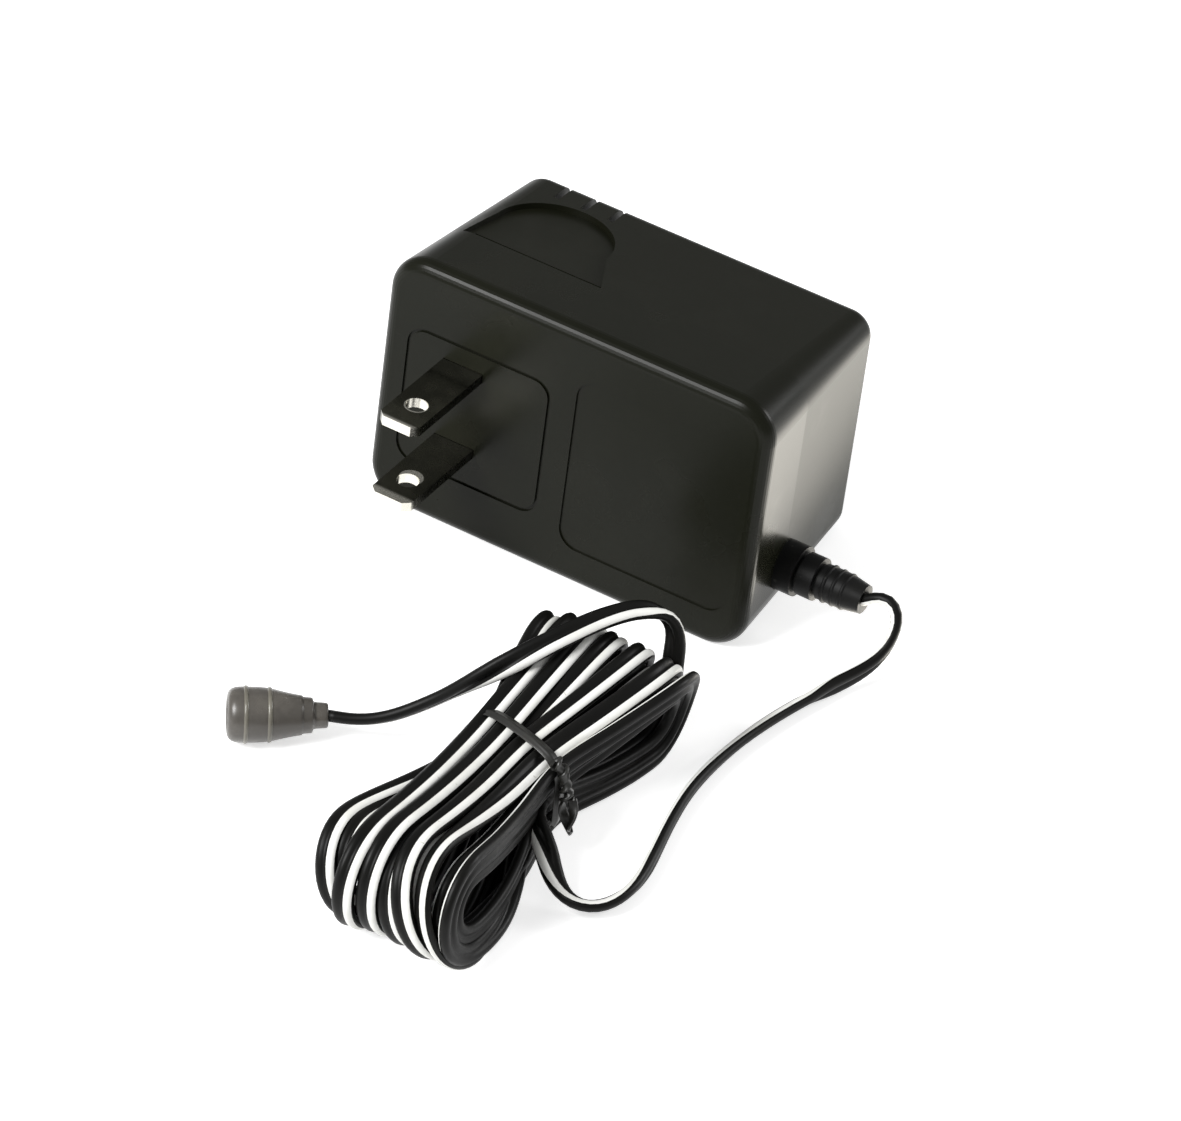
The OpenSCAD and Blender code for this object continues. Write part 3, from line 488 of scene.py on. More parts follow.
def grown(name, tree, start_mesh, values):
    """Run a tree on a mesh and keep the result as a plain mesh piece."""
    seed = bpy.data.objects.new(name + "_seed", start_mesh)
    bpy.context.scene.collection.objects.link(seed)
    modifier = seed.modifiers.new(name, "NODES")
    modifier.node_group = tree
    for socket in tree.interface.items_tree:
        if socket.item_type == "SOCKET" and socket.in_out == "INPUT" and socket.name in values:
            modifier[socket.identifier] = values[socket.name]
    shape = bpy.data.meshes.new_from_object(seed.evaluated_get(bpy.context.evaluated_depsgraph_get()))
    bpy.data.objects.remove(seed)
    work = bmesh.new()
    work.from_mesh(shape)
    bmesh.ops.remove_doubles(work, verts=work.verts, dist=1e-7)
    bmesh.ops.recalc_face_normals(work, faces=work.faces)
    work.to_mesh(shape)
    work.free()
    for face in shape.polygons:
        face.use_smooth = True
    shape.name = name
    piece = bpy.data.objects.new(name, shape)
    bpy.context.scene.collection.objects.link(piece)
    print(name, "faces:", len(shape.polygons))
    return piece


rings = ring_tree()

# %% [markdown]
# ## The barrel connector
#
# The lead ends in a small round connector with a soft grip. Its outline was
# measured as a row of distances from the neck and radii, and a full turn of
# that outline is the body. A spin tool would do the same, and a loop in code
# keeps the two open ends easy to close. The grip rings stand on it.

# %% Turn an outline round an axis
PLUG_AT = Vector((-6.6, -68.2, 4.0)) * MM
PLUG_AXIS = Vector((math.cos(math.radians(215)), math.sin(math.radians(215)), 0.0))


def turned(name, outline, place, axis, around=72):
    """Outline: (distance along the axis, radius) pairs in millimetres; a radius of 0 closes the end."""
    across = axis.orthogonal().normalized()
    other = axis.cross(across)
    points, faces, rows = [], [], []
    for along, radius in outline:
        if radius == 0:
            rows.append([len(points)] * around)
            points.append(place + axis * along * MM)
            continue
        rows.append(list(range(len(points), len(points) + around)))
        for k in range(around):
            a = 2 * math.pi * k / around
            outward = across * math.cos(a) + other * math.sin(a)
            points.append(place + axis * along * MM + outward * radius * MM)
    for one, two in zip(rows, rows[1:]):
        for k in range(around):
            n = (k + 1) % around
            corners = [one[k], one[n], two[n], two[k]]
            faces.append(tuple(dict.fromkeys(corners)))
    return make_piece(name, points, [f for f in faces if len(f) > 2])


CONNECTOR_OUTLINE = [
    (0.0, 0.0), (0.0, 1.5), (0.12, 1.68), (0.5, 1.74), (1.5, 1.8), (1.85, 1.86), (2.0, 2.0), (2.08, 2.3),
    (2.25, 2.42), (3.3, 2.5), (3.42, 2.56), (3.5, 2.68), (3.9, 2.76), (4.6, 2.88), (5.4, 3.04), (6.2, 3.22),
    (7.0, 3.42), (7.8, 3.6), (8.6, 3.7), (9.4, 3.75), (10.3, 3.78), (11.2, 3.8), (11.9, 3.79), (12.5, 3.72),
    (12.95, 3.57), (13.25, 3.34), (13.45, 3.07), (13.56, 2.8), (13.6, 2.6), (13.56, 2.42), (13.4, 2.3),
    (13.0, 2.25), (6.6, 2.25), (6.55, 1.9), (6.55, 0.0)]
connector = turned("connector_grip", CONNECTOR_OUTLINE, PLUG_AT, PLUG_AXIS)
print("connector faces:", len(connector.data.polygons))
grip_rings = grown("connector_rings", rings, bpy.data.meshes.new("empty"), {
    "Count": 2, "First": 7.9 * MM, "Step": 3.2 * MM, "Radius": 3.4 * MM, "Shrink": -0.05, "Bead": 0.38 * MM,
    "Place": PLUG_AT, "Turn": PLUG_AXIS.to_track_quat("Z", "Y").to_euler()})
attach(connector, "root")
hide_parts("connector_body")
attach(grip_rings, "root")

# %% [markdown]
# ## The bend ribs of the strain relief
#
# The strain relief is a rubber boot that keeps the lead from breaking where it
# leaves the case. The boot itself is a solid node. Three thin ribs run round
# its outer end, and the same ring tree makes them, each a little smaller than
# the one before it.

# %% Ribs on the boot
BOOT_AXIS = Vector((1, 0, 0))
boot_ribs = grown("boot_ribs", rings, bpy.data.meshes.new("empty"), {
    "Count": 3, "First": -5.6 * MM, "Step": 1.4 * MM, "Radius": 2.5 * MM, "Shrink": 0.02, "Bead": 0.32 * MM,
    "Place": Vector(EXIT) * MM, "Turn": BOOT_AXIS.to_track_quat("Z", "Y").to_euler()})
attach(boot_ribs, "root")

# %% [markdown]
# ## The twist tie
#
# A plastic strip with a wire in it holds the hank. It goes once round the
# waist as a flat band, and its two ends are twisted together on the right and
# hang down. The band is a flat section swept along a closed line in mesh
# code, like the lead. The twisted pair follows a rule, so Geometry Nodes make
# it: two strands set off from one guide line by an angle that grows along it.

# %% The band round the waist
BAND_ROUTE = [
    (13.5, -63.2, 8.4), (13.8, -63.1, 10.6), (15.2, -63.4, 12.5), (17.8, -64.2, 13.4), (21.0, -65.2, 13.8),
    (24.8, -66.3, 13.8), (27.4, -67.0, 13.1), (28.9, -67.3, 10.8), (29.0, -67.3, 6.0), (28.7, -67.0, 2.8),
    (27.4, -66.6, 0.7), (23.6, -65.6, 0.42), (19.0, -64.5, 0.42), (15.4, -63.6, 0.6), (14.2, -63.3, 2.6),
    (13.5, -63.2, 5.6)]


def closed_line(points, steps):
    pts = [Vector(p) * MM for p in points]
    n = len(pts)
    return [between(pts[i - 1], pts[i], pts[(i + 1) % n], pts[(i + 2) % n], k / steps)
            for i in range(n) for k in range(steps)]


def sweep_band(name, line, section):
    m, n = len(section), len(line)
    middle = sum(line, Vector()) / n
    points, faces = [], []
    for i, p in enumerate(line):
        ahead = (line[(i + 1) % n] - line[i - 1]).normalized()
        out = p - middle
        out = (out - ahead * out.dot(ahead)).normalized()
        across = ahead.cross(out)
        points += [p + across * x * MM + out * y * MM for x, y in section]
    for i in range(n):
        for k in range(m):
            a, b = i * m + k, i * m + (k + 1) % m
            c, d = ((i + 1) % n) * m + (k + 1) % m, ((i + 1) % n) * m + k
            faces.append((a, b, c, d))
    return make_piece(name, points, faces)


BAND_SECTION = [(-0.85, -0.09), (-0.9, 0.0), (-0.85, 0.09), (-0.42, 0.12), (-0.24, 0.28), (0.0, 0.36),
                (0.24, 0.28), (0.42, 0.12), (0.85, 0.09), (0.9, 0.0), (0.85, -0.09), (0.0, -0.12)]
tie_band = sweep_band("tie_band", closed_line(BAND_ROUTE, 6), BAND_SECTION)
print("band faces:", len(tie_band.data.polygons))


# %% The twisted pair
def pair_tree():
    tree = bpy.data.node_groups.new("twisted_pair", "GeometryNodeTree")
    face = tree.interface
    face.new_socket(name="Guide", in_out="INPUT", socket_type="NodeSocketGeometry")
    for name, kind, value in [("Turns", "NodeSocketFloat", 3.0), ("Apart", "NodeSocketFloat", 0.0005),
                              ("Width", "NodeSocketFloat", 0.0011), ("Thickness", "NodeSocketFloat", 0.0005),
                              ("Steps", "NodeSocketInt", 60)]:
        face.new_socket(name=name, in_out="INPUT", socket_type=kind).default_value = value
    face.new_socket(name="Finish", in_out="INPUT", socket_type="NodeSocketMaterial")
    face.new_socket(name="Geometry", in_out="OUTPUT", socket_type="NodeSocketGeometry")
    made, link = tree.nodes.new, tree.links.new
    given, result = made("NodeGroupInput"), made("NodeGroupOutput")
    curve, even = made("GeometryNodeMeshToCurve"), made("GeometryNodeResampleCurve")
    link(given.outputs["Guide"], curve.inputs["Mesh"])
    link(curve.outputs[0], even.inputs["Curve"])
    link(given.outputs["Steps"], even.inputs["Count"])
    along = made("GeometryNodeSplineParameter")
    normal, tangent = made("GeometryNodeInputNormal"), made("GeometryNodeInputTangent")
    cross = made("ShaderNodeVectorMath")
    cross.operation = "CROSS_PRODUCT"
    link(tangent.outputs[0], cross.inputs[0])
    link(normal.outputs[0], cross.inputs[1])
    turns, full = made("ShaderNodeMath"), made("ShaderNodeMath")
    turns.operation = full.operation = "MULTIPLY"
    full.inputs[1].default_value = 2 * math.pi
    link(along.outputs["Factor"], turns.inputs[0])
    link(given.outputs["Turns"], turns.inputs[1])
    link(turns.outputs[0], full.inputs[0])
    profile, flat = made("GeometryNodeCurvePrimitiveQuadrilateral"), made("GeometryNodeFilletCurve")
    flat.mode = "POLY"
    flat.inputs["Radius"].default_value = 0.00018
    flat.inputs["Count"].default_value = 3
    link(given.outputs["Width"], profile.inputs["Width"])
    link(given.outputs["Thickness"], profile.inputs["Height"])
    link(profile.outputs[0], flat.inputs["Curve"])
    join = made("GeometryNodeJoinGeometry")
    for phase in (0.0, math.pi):
        angle, sine, cosine = made("ShaderNodeMath"), made("ShaderNodeMath"), made("ShaderNodeMath")
        sine.operation, cosine.operation = "SINE", "COSINE"
        link(full.outputs[0], angle.inputs[0])
        angle.inputs[1].default_value = phase
        link(angle.outputs[0], sine.inputs[0])
        link(angle.outputs[0], cosine.inputs[0])
        one, two, both, size = [made("ShaderNodeVectorMath") for _ in range(4)]
        one.operation = two.operation = size.operation = "SCALE"
        link(normal.outputs[0], one.inputs[0])
        link(cosine.outputs[0], one.inputs["Scale"])
        link(cross.outputs[0], two.inputs[0])
        link(sine.outputs[0], two.inputs["Scale"])
        link(one.outputs[0], both.inputs[0])
        link(two.outputs[0], both.inputs[1])
        link(both.outputs[0], size.inputs[0])
        link(given.outputs["Apart"], size.inputs["Scale"])
        move, tilt = made("GeometryNodeSetPosition"), made("GeometryNodeSetCurveTilt")
        sweep = made("GeometryNodeCurveToMesh")
        link(even.outputs[0], move.inputs["Geometry"])
        link(size.outputs[0], move.inputs["Offset"])
        link(move.outputs[0], tilt.inputs["Curve"])
        link(angle.outputs[0], tilt.inputs["Tilt"])
        link(tilt.outputs[0], sweep.inputs["Curve"])
        link(flat.outputs[0], sweep.inputs["Profile Curve"])
        sweep.inputs["Fill Caps"].default_value = True
        link(sweep.outputs[0], join.inputs[0])
    real, dress = made("GeometryNodeRealizeInstances"), made("GeometryNodeSetMaterial")
    link(join.outputs[0], real.inputs[0])
    link(real.outputs[0], dress.inputs["Geometry"])
    link(given.outputs["Finish"], dress.inputs["Material"])
    link(dress.outputs[0], result.inputs[0])
    return tree


def guide_mesh(points):
    line = smooth_line([Vector(p) * MM for p in points], 8)
    mesh = bpy.data.meshes.new("guide")
    mesh.from_pydata([tuple(p) for p in line], [(i, i + 1) for i in range(len(line) - 1)], [])
    return mesh


pair = pair_tree()
tie_knot = grown("tie_knot", pair, guide_mesh(
    [(27.9, -67.1, 13.2), (29.2, -67.3, 12.3), (30.0, -67.5, 10.4), (30.6, -67.8, 8.0)]),
    {"Turns": 2.2, "Apart": 0.42 * MM, "Width": 1.25 * MM, "Thickness": 0.5 * MM, "Steps": 44})
tie_ends = grown("tie_ends", pair, guide_mesh(
    [(30.6, -67.8, 8.0), (31.2, -68.2, 6.2), (31.8, -68.8, 5.0), (32.3, -69.4, 4.4)]),
    {"Turns": 0.35, "Apart": 0.75 * MM, "Width": 1.3 * MM, "Thickness": 0.4 * MM, "Steps": 30})
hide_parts("cord_tie")
for piece in (tie_band, tie_knot, tie_ends):
    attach(piece, "root")

[tuple(p) for p in cord_path]

# %% [markdown]
# ## Effects that several finishes share
#
# Moulded plastic, rubber and metal are never one flat colour: they have a fine
# grain, patches that hands have rubbed smoother, and small scratches. Each of
# these effects is a shader node group, built once and given its own values in
# each material. A group puts out only heights and masks, so any material can
# use them for its colour, its roughness or its bumps.


# %% Helpers for node groups
def new_group(name, inputs, outputs):
    tree = bpy.data.node_groups.new(name, "ShaderNodeTree")
    add_socket = tree.interface.new_socket
    for label, value in inputs:
        add_socket(name=label, in_out="INPUT", socket_type="NodeSocketFloat").default_value = value
    for label in outputs:
        add_socket(name=label, in_out="OUTPUT", socket_type="NodeSocketFloat")
    given, result = tree.nodes.new("NodeGroupInput"), tree.nodes.new("NodeGroupOutput")
    place = tree.nodes.new("ShaderNodeTexCoord")
    return tree, given, result, place


def noise(tree, place, detail=3.0, rough=0.6, stretch=None):
    node = tree.nodes.new("ShaderNodeTexNoise")
    node.inputs["Detail"].default_value = detail
    node.inputs["Roughness"].default_value = rough
    source = place.outputs["Object"]
    if stretch:
        shape = tree.nodes.new("ShaderNodeMapping")
        shape.inputs["Scale"].default_value = stretch
        tree.links.new(source, shape.inputs["Vector"])
        source = shape.outputs[0]
    tree.links.new(source, node.inputs["Vector"])
    return node


def between_values(tree, source, low, high, to_low=0.0, to_high=1.0):
    node = tree.nodes.new("ShaderNodeMapRange")
    node.interpolation_type = "SMOOTHSTEP"
    for label, value in [("From Min", low), ("From Max", high), ("To Min", to_low), ("To Max", to_high)]:
        node.inputs[label].default_value = value
    tree.links.new(source, node.inputs["Value"])
    return node.outputs["Result"]


# %% Grain, handling and scratches
def grain_group():
    tree, given, result, place = new_group("moulded_grain", [("Scale", 2500.0)], ["Height", "Pits"])
    fine = noise(tree, place, 2.0, 0.55)
    tree.links.new(given.outputs["Scale"], fine.inputs["Scale"])
    tree.links.new(fine.outputs[0], result.inputs["Height"])
    tree.links.new(between_values(tree, fine.outputs[0], 0.34, 0.44, 1.0, 0.0), result.inputs["Pits"])
    return tree


def handling_group():
    tree, given, result, place = new_group("handling", [("Scale", 60.0)], ["Rubbed", "Dust"])
    wide, specks = noise(tree, place, 4.0, 0.62), noise(tree, place, 2.0, 0.5)
    tree.links.new(given.outputs["Scale"], wide.inputs["Scale"])
    specks.inputs["Scale"].default_value = 900.0
    tree.links.new(between_values(tree, wide.outputs[0], 0.42, 0.68), result.inputs["Rubbed"])
    tree.links.new(between_values(tree, specks.outputs[0], 0.70, 0.78), result.inputs["Dust"])
    return tree


def scratch_group():
    tree, given, result, place = new_group("fine_scratches", [("Scale", 40.0)], ["Height", "Mask"])
    both = tree.nodes.new("ShaderNodeMath")
    both.operation = "MAXIMUM"
    for k, stretch in enumerate([(1.0, 22.0, 30.0), (26.0, 1.0, 24.0)]):
        lines = noise(tree, place, 3.0, 0.7, stretch)
        tree.links.new(given.outputs["Scale"], lines.inputs["Scale"])
        tree.links.new(lines.outputs[0], both.inputs[k])
    tree.links.new(both.outputs[0], result.inputs["Height"])
    tree.links.new(between_values(tree, both.outputs[0], 0.62, 0.74), result.inputs["Mask"])
    return tree


GRAIN, HANDLING, SCRATCHES = grain_group(), handling_group(), scratch_group()
print("shared effects:", GRAIN.name, HANDLING.name, SCRATCHES.name)

# %% [markdown]
# ## One way to build a finish
#
# Every surface here is a base colour that drifts to a second one where it was
# rubbed, with a grain in its bumps and a roughness that changes with both. A
# function keeps that in one place, and each finish adds its own pattern, such
# as the stripe of the windings. Numbers that are the same all over, such as
# the strength of the highlight, are set on the shader itself.


# %% The finish builder
def use_group(tree, group, scale):
    node = tree.nodes.new("ShaderNodeGroup")
    node.node_tree = group
    node.inputs["Scale"].default_value = scale
    return node


def mixed(tree, mask, one, two):
    node = tree.nodes.new("ShaderNodeMix")
    node.data_type = "RGBA"
    tree.links.new(mask, node.inputs["Factor"])
    for socket, value in ((node.inputs[6], one), (node.inputs[7], two)):
        if isinstance(value, tuple):
            socket.default_value = (*value, 1)
        else:
            tree.links.new(value, socket)
    return node.outputs[2]


def finish(name, base, rubbed, rough, rough_rubbed, grain=2500.0, bump=0.05, metal=0.0, specular=0.3,
           scratches=0.0, handling=60.0, dust=None, pattern=None, depth=0.00004):
    material = bpy.data.materials.new(name)
    material.use_nodes = True
    tree = material.node_tree
    shader = tree.nodes["Principled BSDF"]
    shader.inputs["Metallic"].default_value = metal
    shader.inputs["Specular IOR Level"].default_value = specular
    fine, hand = use_group(tree, GRAIN, grain), use_group(tree, HANDLING, handling)
    colour = mixed(tree, hand.outputs["Rubbed"], base, rubbed)
    if pattern:
        colour = pattern(tree, colour)
    if dust:
        colour = mixed(tree, hand.outputs["Dust"], colour, dust)
    height = fine.outputs["Height"]
    rough_out = between_values(tree, hand.outputs["Rubbed"], 0.0, 1.0, rough, rough_rubbed)
    if scratches:
        lines = use_group(tree, SCRATCHES, 40.0)
        add = tree.nodes.new("ShaderNodeMath")
        add.operation = "MULTIPLY_ADD"
        add.inputs[1].default_value = scratches
        tree.links.new(lines.outputs["Mask"], add.inputs[0])
        tree.links.new(height, add.inputs[2])
        height = add.outputs[0]
    relief = tree.nodes.new("ShaderNodeBump")
    relief.inputs["Strength"].default_value = bump
    relief.inputs["Distance"].default_value = depth
    tree.links.new(height, relief.inputs["Height"])
    tree.links.new(relief.outputs[0], shader.inputs["Normal"])
    tree.links.new(colour, shader.inputs["Base Color"])
    tree.links.new(rough_out, shader.inputs["Roughness"])
    return material


def bands(direction, scale, colour, low, high, turn=None):
    """A pattern of parallel lines across one direction, such as wires or sheets."""
    def add(tree, under):
        place, wave = tree.nodes.new("ShaderNodeTexCoord"), tree.nodes.new("ShaderNodeTexWave")
        wave.bands_direction = direction
        wave.inputs["Scale"].default_value = scale
        wave.inputs["Distortion"].default_value = 0.6
        source = place.outputs["Object"]
        if turn:
            shape = tree.nodes.new("ShaderNodeMapping")
            shape.inputs["Rotation"].default_value = turn
            tree.links.new(source, shape.inputs["Vector"])
            source = shape.outputs[0]
        tree.links.new(source, wave.inputs["Vector"])
        return mixed(tree, between_values(tree, wave.outputs["Fac"], low, high), under, colour)
    return add


# %% [markdown]
# ## The outer finishes
#
# The case is black plastic with a slight olive tone and a satin surface,
# glossier where it is rubbed. The blades are plated brass that mirrors the
# dark face they stand in, and their colour is set near black as a painted
# reflection of that face, with painted highlights at their tips and round
# their holes. The lead is soft black vinyl with a chalky white stripe. The
# boot and the tie are duller black, and the connector is a glossy grey-brown
# that looks much paler than the rest, with painted highlights on its grip rings.

# %% Painted highlights at the tips and in the holes of the blades
HOLE_FROM_TIP = 5.1 * MM
blade_low, blade_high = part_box("blade_upper")
BLADE_TIP_Y = blade_low[1]
HOLE_AT = (0.5 * (blade_low[0] + blade_high[0]), BLADE_TIP_Y + HOLE_FROM_TIP, 0.0)


def tip_and_hole_highlight(tree, under):
    """Painted highlight: a pale colour at the tip of the blade and round the wall of its hole, where light
    catches the cut metal.
    """
    place, parts = tree.nodes.new("ShaderNodeTexCoord"), tree.nodes.new("ShaderNodeSeparateXYZ")
    tree.links.new(place.outputs["Object"], parts.inputs[0])
    tip = between_values(tree, parts.outputs["Y"], BLADE_TIP_Y + 0.1 * MM, BLADE_TIP_Y + 0.9 * MM, 1.0, 0.0)
    flat = tree.nodes.new("ShaderNodeCombineXYZ")
    tree.links.new(parts.outputs["X"], flat.inputs["X"])
    tree.links.new(parts.outputs["Y"], flat.inputs["Y"])
    reach = tree.nodes.new("ShaderNodeVectorMath")
    reach.operation = "DISTANCE"
    reach.inputs[1].default_value = HOLE_AT
    tree.links.new(flat.outputs[0], reach.inputs[0])
    wall = between_values(tree, reach.outputs["Value"], 1.66 * MM, 1.78 * MM, 1.0, 0.0)
    both = tree.nodes.new("ShaderNodeMath")
    both.operation = "MAXIMUM"
    tree.links.new(tip, both.inputs[0])
    tree.links.new(wall, both.inputs[1])
    # Painted highlight: the pale colour stands for light caught on the tip and on the hole wall.
    return mixed(tree, both.outputs[0], under, (0.78, 0.76, 0.68))


# %% Case, blades, lead, tie and connector
case_black = finish("case_black", (0.0068, 0.0072, 0.0040), (0.0086, 0.0090, 0.0054), 0.36, 0.29,
                    3200.0, 0.10, specular=0.12, scratches=0.25, handling=45.0, dust=(0.009, 0.0092, 0.0066))
case_front = finish("case_front", (0.0064, 0.0069, 0.0038), (0.0082, 0.0086, 0.0050), 0.30, 0.24,
                    3200.0, 0.08, specular=0.12, scratches=0.25, handling=45.0, dust=(0.009, 0.0092, 0.0066))
# The dark base colour paints in the dark face that the blades mirror, a painted reflection; the pattern adds
# painted highlights at the tips and round the holes.
blade_plate = finish("blade_plate", (0.050, 0.050, 0.036), (0.085, 0.084, 0.062), 0.22, 0.30, 1800.0, 0.12,
                     metal=1.0, specular=0.5, scratches=0.7, handling=160.0, pattern=tip_and_hole_highlight)
lead_black = finish("lead_black", (0.0040, 0.0040, 0.0036), (0.0062, 0.0060, 0.0054), 0.42, 0.34,
                    2600.0, 0.12, specular=0.14, handling=120.0, dust=(0.010, 0.010, 0.0095))
lead_stripe = finish("lead_stripe", (0.80, 0.80, 0.77), (0.70, 0.70, 0.66), 0.46, 0.40, 2600.0, 0.12,
                     specular=0.3, handling=120.0, dust=(0.52, 0.51, 0.47))
boot_rubber = finish("boot_rubber", (0.0050, 0.0050, 0.0048), (0.0085, 0.0084, 0.0078), 0.50, 0.40,
                     1700.0, 0.25, specular=0.16, handling=150.0, dust=(0.03, 0.03, 0.027))
tie_plastic = finish("tie_plastic", (0.0120, 0.0120, 0.0105), (0.0240, 0.0235, 0.0205), 0.38, 0.28,
                     1500.0, 0.30, specular=0.5, handling=260.0, scratches=0.5)
grip_grey = finish("grip_grey", (0.066, 0.060, 0.052), (0.098, 0.090, 0.078), 0.36, 0.26, 2200.0, 0.10,
                   specular=0.5, handling=190.0, dust=(0.13, 0.12, 0.10))
# Painted highlight: the grip rings get a paler copy of the grip colour, standing in for light along their
# edges.
grip_ring_highlight = finish("grip_ring_highlight", (0.12, 0.112, 0.09), (0.17, 0.16, 0.13), 0.34, 0.28, 2200.0, 0.10,
                   specular=0.5, handling=190.0)

# %% [markdown]
# ## The finishes inside the case
#
# These surfaces are hidden until the case is opened or cut, but they are real
# parts: a stack of steel sheets, copper windings under tape, a small green
# board and its components. Each gets the pattern that shows what it is, such
# as the edges of the sheets or the lines of the wire.

# %% Inside finishes
inner_plastic = finish("inner_plastic", (0.42, 0.40, 0.34), (0.50, 0.48, 0.42), 0.5, 0.42, 1500.0, 0.2)
core_steel = finish("core_steel", (0.20, 0.20, 0.21), (0.30, 0.30, 0.30), 0.42, 0.34, 1500.0, 0.3, metal=0.9,
                    pattern=bands("Y", 950.0, (0.06, 0.055, 0.05), 0.55, 0.75))
winding_copper = finish("winding_copper", (0.52, 0.21, 0.08), (0.64, 0.29, 0.12), 0.3, 0.24, 2000.0, 0.2,
                        metal=0.9, pattern=bands("Z", 1300.0, (0.16, 0.05, 0.02), 0.5, 0.8))
winding_tape = finish("winding_tape", (0.62, 0.45, 0.06), (0.70, 0.53, 0.12), 0.34, 0.28, 900.0, 0.3,
                      pattern=bands("Y", 120.0, (0.45, 0.32, 0.04), 0.8, 0.95))
board_green = finish("board_green", (0.02, 0.13, 0.05), (0.03, 0.17, 0.07), 0.38, 0.3, 1500.0, 0.2,
                     pattern=bands("X", 420.0, (0.05, 0.22, 0.10), 0.86, 0.96))
diode_black = finish("diode_black", (0.014, 0.014, 0.015), (0.03, 0.03, 0.03), 0.42, 0.35, 2600.0, 0.2)
can_sleeve = finish("can_sleeve", (0.012, 0.02, 0.06), (0.02, 0.03, 0.09), 0.3, 0.24, 1500.0, 0.1,
                    pattern=bands("X", 110.0, (0.35, 0.35, 0.36), 0.93, 0.97))
wire_blue = finish("wire_sleeve", (0.03, 0.07, 0.30), (0.05, 0.10, 0.38), 0.42, 0.34, 2600.0, 0.15)
fuse_white = finish("fuse_white", (0.66, 0.64, 0.58), (0.74, 0.72, 0.66), 0.4, 0.32, 1500.0, 0.15,
                    pattern=bands("X", 180.0, (0.36, 0.34, 0.30), 0.9, 0.97))
contact_metal = finish("contact_metal", (0.62, 0.61, 0.57), (0.74, 0.73, 0.70), 0.22, 0.3, 2000.0, 0.15,
                       metal=1.0, specular=0.5, scratches=0.5)

# %% Give each node its finish
BY_NAME = {
    "front_cover": case_front, "rear_cover": case_black,
    "blade_upper": blade_plate, "blade_lower": blade_plate,
    "blade_retainer": inner_plastic, "core_e_stack": core_steel, "core_i_stack": core_steel,
    "bobbin": inner_plastic, "primary_winding": winding_copper, "secondary_winding": winding_copper,
    "primary_tape": winding_tape, "secondary_tape": winding_tape, "thermal_fuse": fuse_white,
    "circuit_board": board_green, "smoothing_capacitor": can_sleeve, "strain_relief": boot_rubber,
    "cord_lead": lead_black, "cord_hank": lead_black, "cord_tail": lead_black, "cord_tie": tie_plastic,
    "connector_body": grip_grey, "contact_sleeve": contact_metal, "pin_holder": diode_black,
    "centre_pin": contact_metal}
STARTS = {"diode_": diode_black, "primary_pin": contact_metal, "secondary_pin": contact_metal,
          "live_lead": wire_blue, "neutral_lead": wire_blue, "secondary_lead": wire_blue,
          "output_lead": wire_blue}


def node_finish(name):
    return BY_NAME.get(name) or next(material for start, material in STARTS.items() if name.startswith(start))


for name, node in nodes.items():
    node.data.materials.clear()
    node.data.materials.append(node_finish(name))
ADDED = [(cord, [lead_black, lead_stripe]), (connector, [grip_grey]), (grip_rings, [grip_ring_highlight]),
         (boot_ribs, [boot_rubber]), (tie_band, [tie_plastic]), (tie_knot, [tie_plastic]),
         (tie_ends, [tie_plastic])]
for piece, finishes in ADDED:
    for k, material in enumerate(finishes):
        if k < len(piece.data.materials):
            piece.data.materials[k] = material
        else:
            piece.data.materials.append(material)
print("finishes:", len(bpy.data.materials), "on", len(nodes), "nodes and", len(ADDED), "pieces")

# %% [markdown]
# ## The table, the room and the lamps
#
# The photograph was taken on a white ground with soft light from the front
# left and above, which draws the bright line along the top of the front face,
# and white ground on the right, which the end of the case mirrors. The table
# stays white to the camera and to glossy surfaces, and keeps the shadow. The
# room is white where the camera looks at it or through clear parts, and dimmer
# as a light and in reflections.


# %% Table and world
TABLE_GLOW = 0.6
TABLE_HALF = 6.0
TABLE_Z = -0.00002
ROOM_LIGHT = 0.42


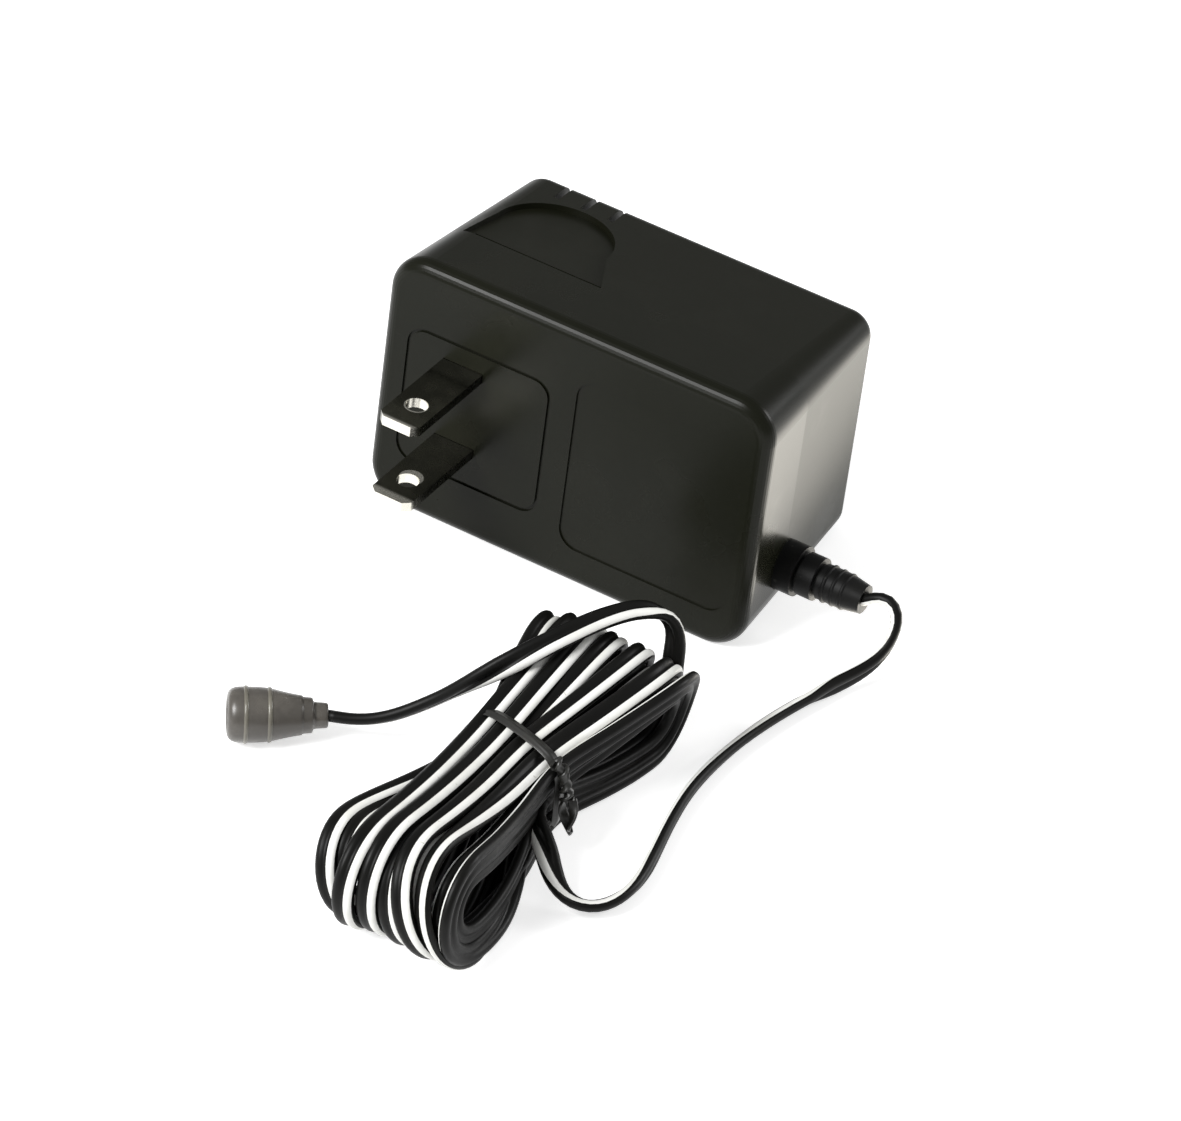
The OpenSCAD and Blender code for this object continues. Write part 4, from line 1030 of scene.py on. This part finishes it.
def table_finish():
    material = bpy.data.materials.new("table_white")
    material.use_nodes = True
    tree = material.node_tree
    shader = tree.nodes["Principled BSDF"]
    place = tree.nodes.new("ShaderNodeTexCoord")
    cloud = noise(tree, place, 2.0, 0.5)
    cloud.inputs["Scale"].default_value = 8.0
    tint = mixed(tree, cloud.outputs[0], (0.90, 0.90, 0.90), (0.93, 0.93, 0.93))
    tree.links.new(tint, shader.inputs["Base Color"])
    shader.inputs["Roughness"].default_value = 0.9
    shader.inputs["Specular IOR Level"].default_value = 0.1
    rays, seen, glow, add = [tree.nodes.new(kind) for kind in (
        "ShaderNodeLightPath", "ShaderNodeMath", "ShaderNodeEmission", "ShaderNodeAddShader")]
    seen.operation = "MAXIMUM"
    tree.links.new(rays.outputs["Is Camera Ray"], seen.inputs[0])
    tree.links.new(rays.outputs["Is Glossy Ray"], seen.inputs[1])
    scale = between_values(tree, seen.outputs[0], 0.0, 1.0, 0.0, TABLE_GLOW)
    tree.links.new(scale, glow.inputs["Strength"])
    tree.links.new(shader.outputs[0], add.inputs[0])
    tree.links.new(glow.outputs[0], add.inputs[1])
    tree.links.new(add.outputs[0], tree.nodes["Material Output"].inputs["Surface"])
    return material


floor_mesh = bpy.data.meshes.new("table")
corners = [(x * TABLE_HALF, y * TABLE_HALF, TABLE_Z) for x, y in ((-1, -1), (1, -1), (1, 1), (-1, 1))]
floor_mesh.from_pydata(corners, [], [(0, 1, 2, 3)])
table = bpy.data.objects.new("table", floor_mesh)
bpy.context.scene.collection.objects.link(table)
table.data.materials.append(table_finish())

world = bpy.data.worlds.new("studio")
bpy.context.scene.world = world
world.use_nodes = True
room = world.node_tree
sky = room.nodes["Background"]
sky.inputs["Color"].default_value = (1, 1, 1, 1)
rays, direct, through = [room.nodes.new(kind) for kind in (
    "ShaderNodeLightPath", "ShaderNodeMath", "ShaderNodeMath")]
direct.operation = through.operation = "MAXIMUM"
room.links.new(rays.outputs["Is Camera Ray"], direct.inputs[0])
room.links.new(rays.outputs["Is Transmission Ray"], direct.inputs[1])
room.links.new(between_values(room, direct.outputs[0], 0.0, 1.0, ROOM_LIGHT, 1.0), sky.inputs["Strength"])


# %% Lamps
MIDDLE = (0.005, -0.03, 0.02)


def lamp(name, place, size, power, toward=MIDDLE, size_y=None):
    data = bpy.data.lights.new(name, "AREA")
    data.shape = "RECTANGLE"
    data.size, data.size_y = size, size_y or size
    data.energy = power
    thing = bpy.data.objects.new(name, data)
    away = Vector(place) - Vector(toward)
    thing.matrix_world = Matrix.Translation(place) @ away.to_track_quat("Z", "Y").to_matrix().to_4x4()
    bpy.context.scene.collection.objects.link(thing)
    return thing


lamp("key", (-0.36, -0.64, 0.67), 0.42, 11.0)
lamp("edge", (0.56, 0.58, 0.34), 0.3, 3.0)
ground = lamp("white_ground", (0.054, 0.038, 0.0004), 0.036, 0.05, (0.054, 0.038, 1.0), 0.100)
ground.data.color = (1.0, 0.95, 0.84)
ground.visible_camera = False
bpy.context.scene.view_settings.view_transform = "Standard"

# %% Bring the scene up to date
bpy.context.view_layer.update()
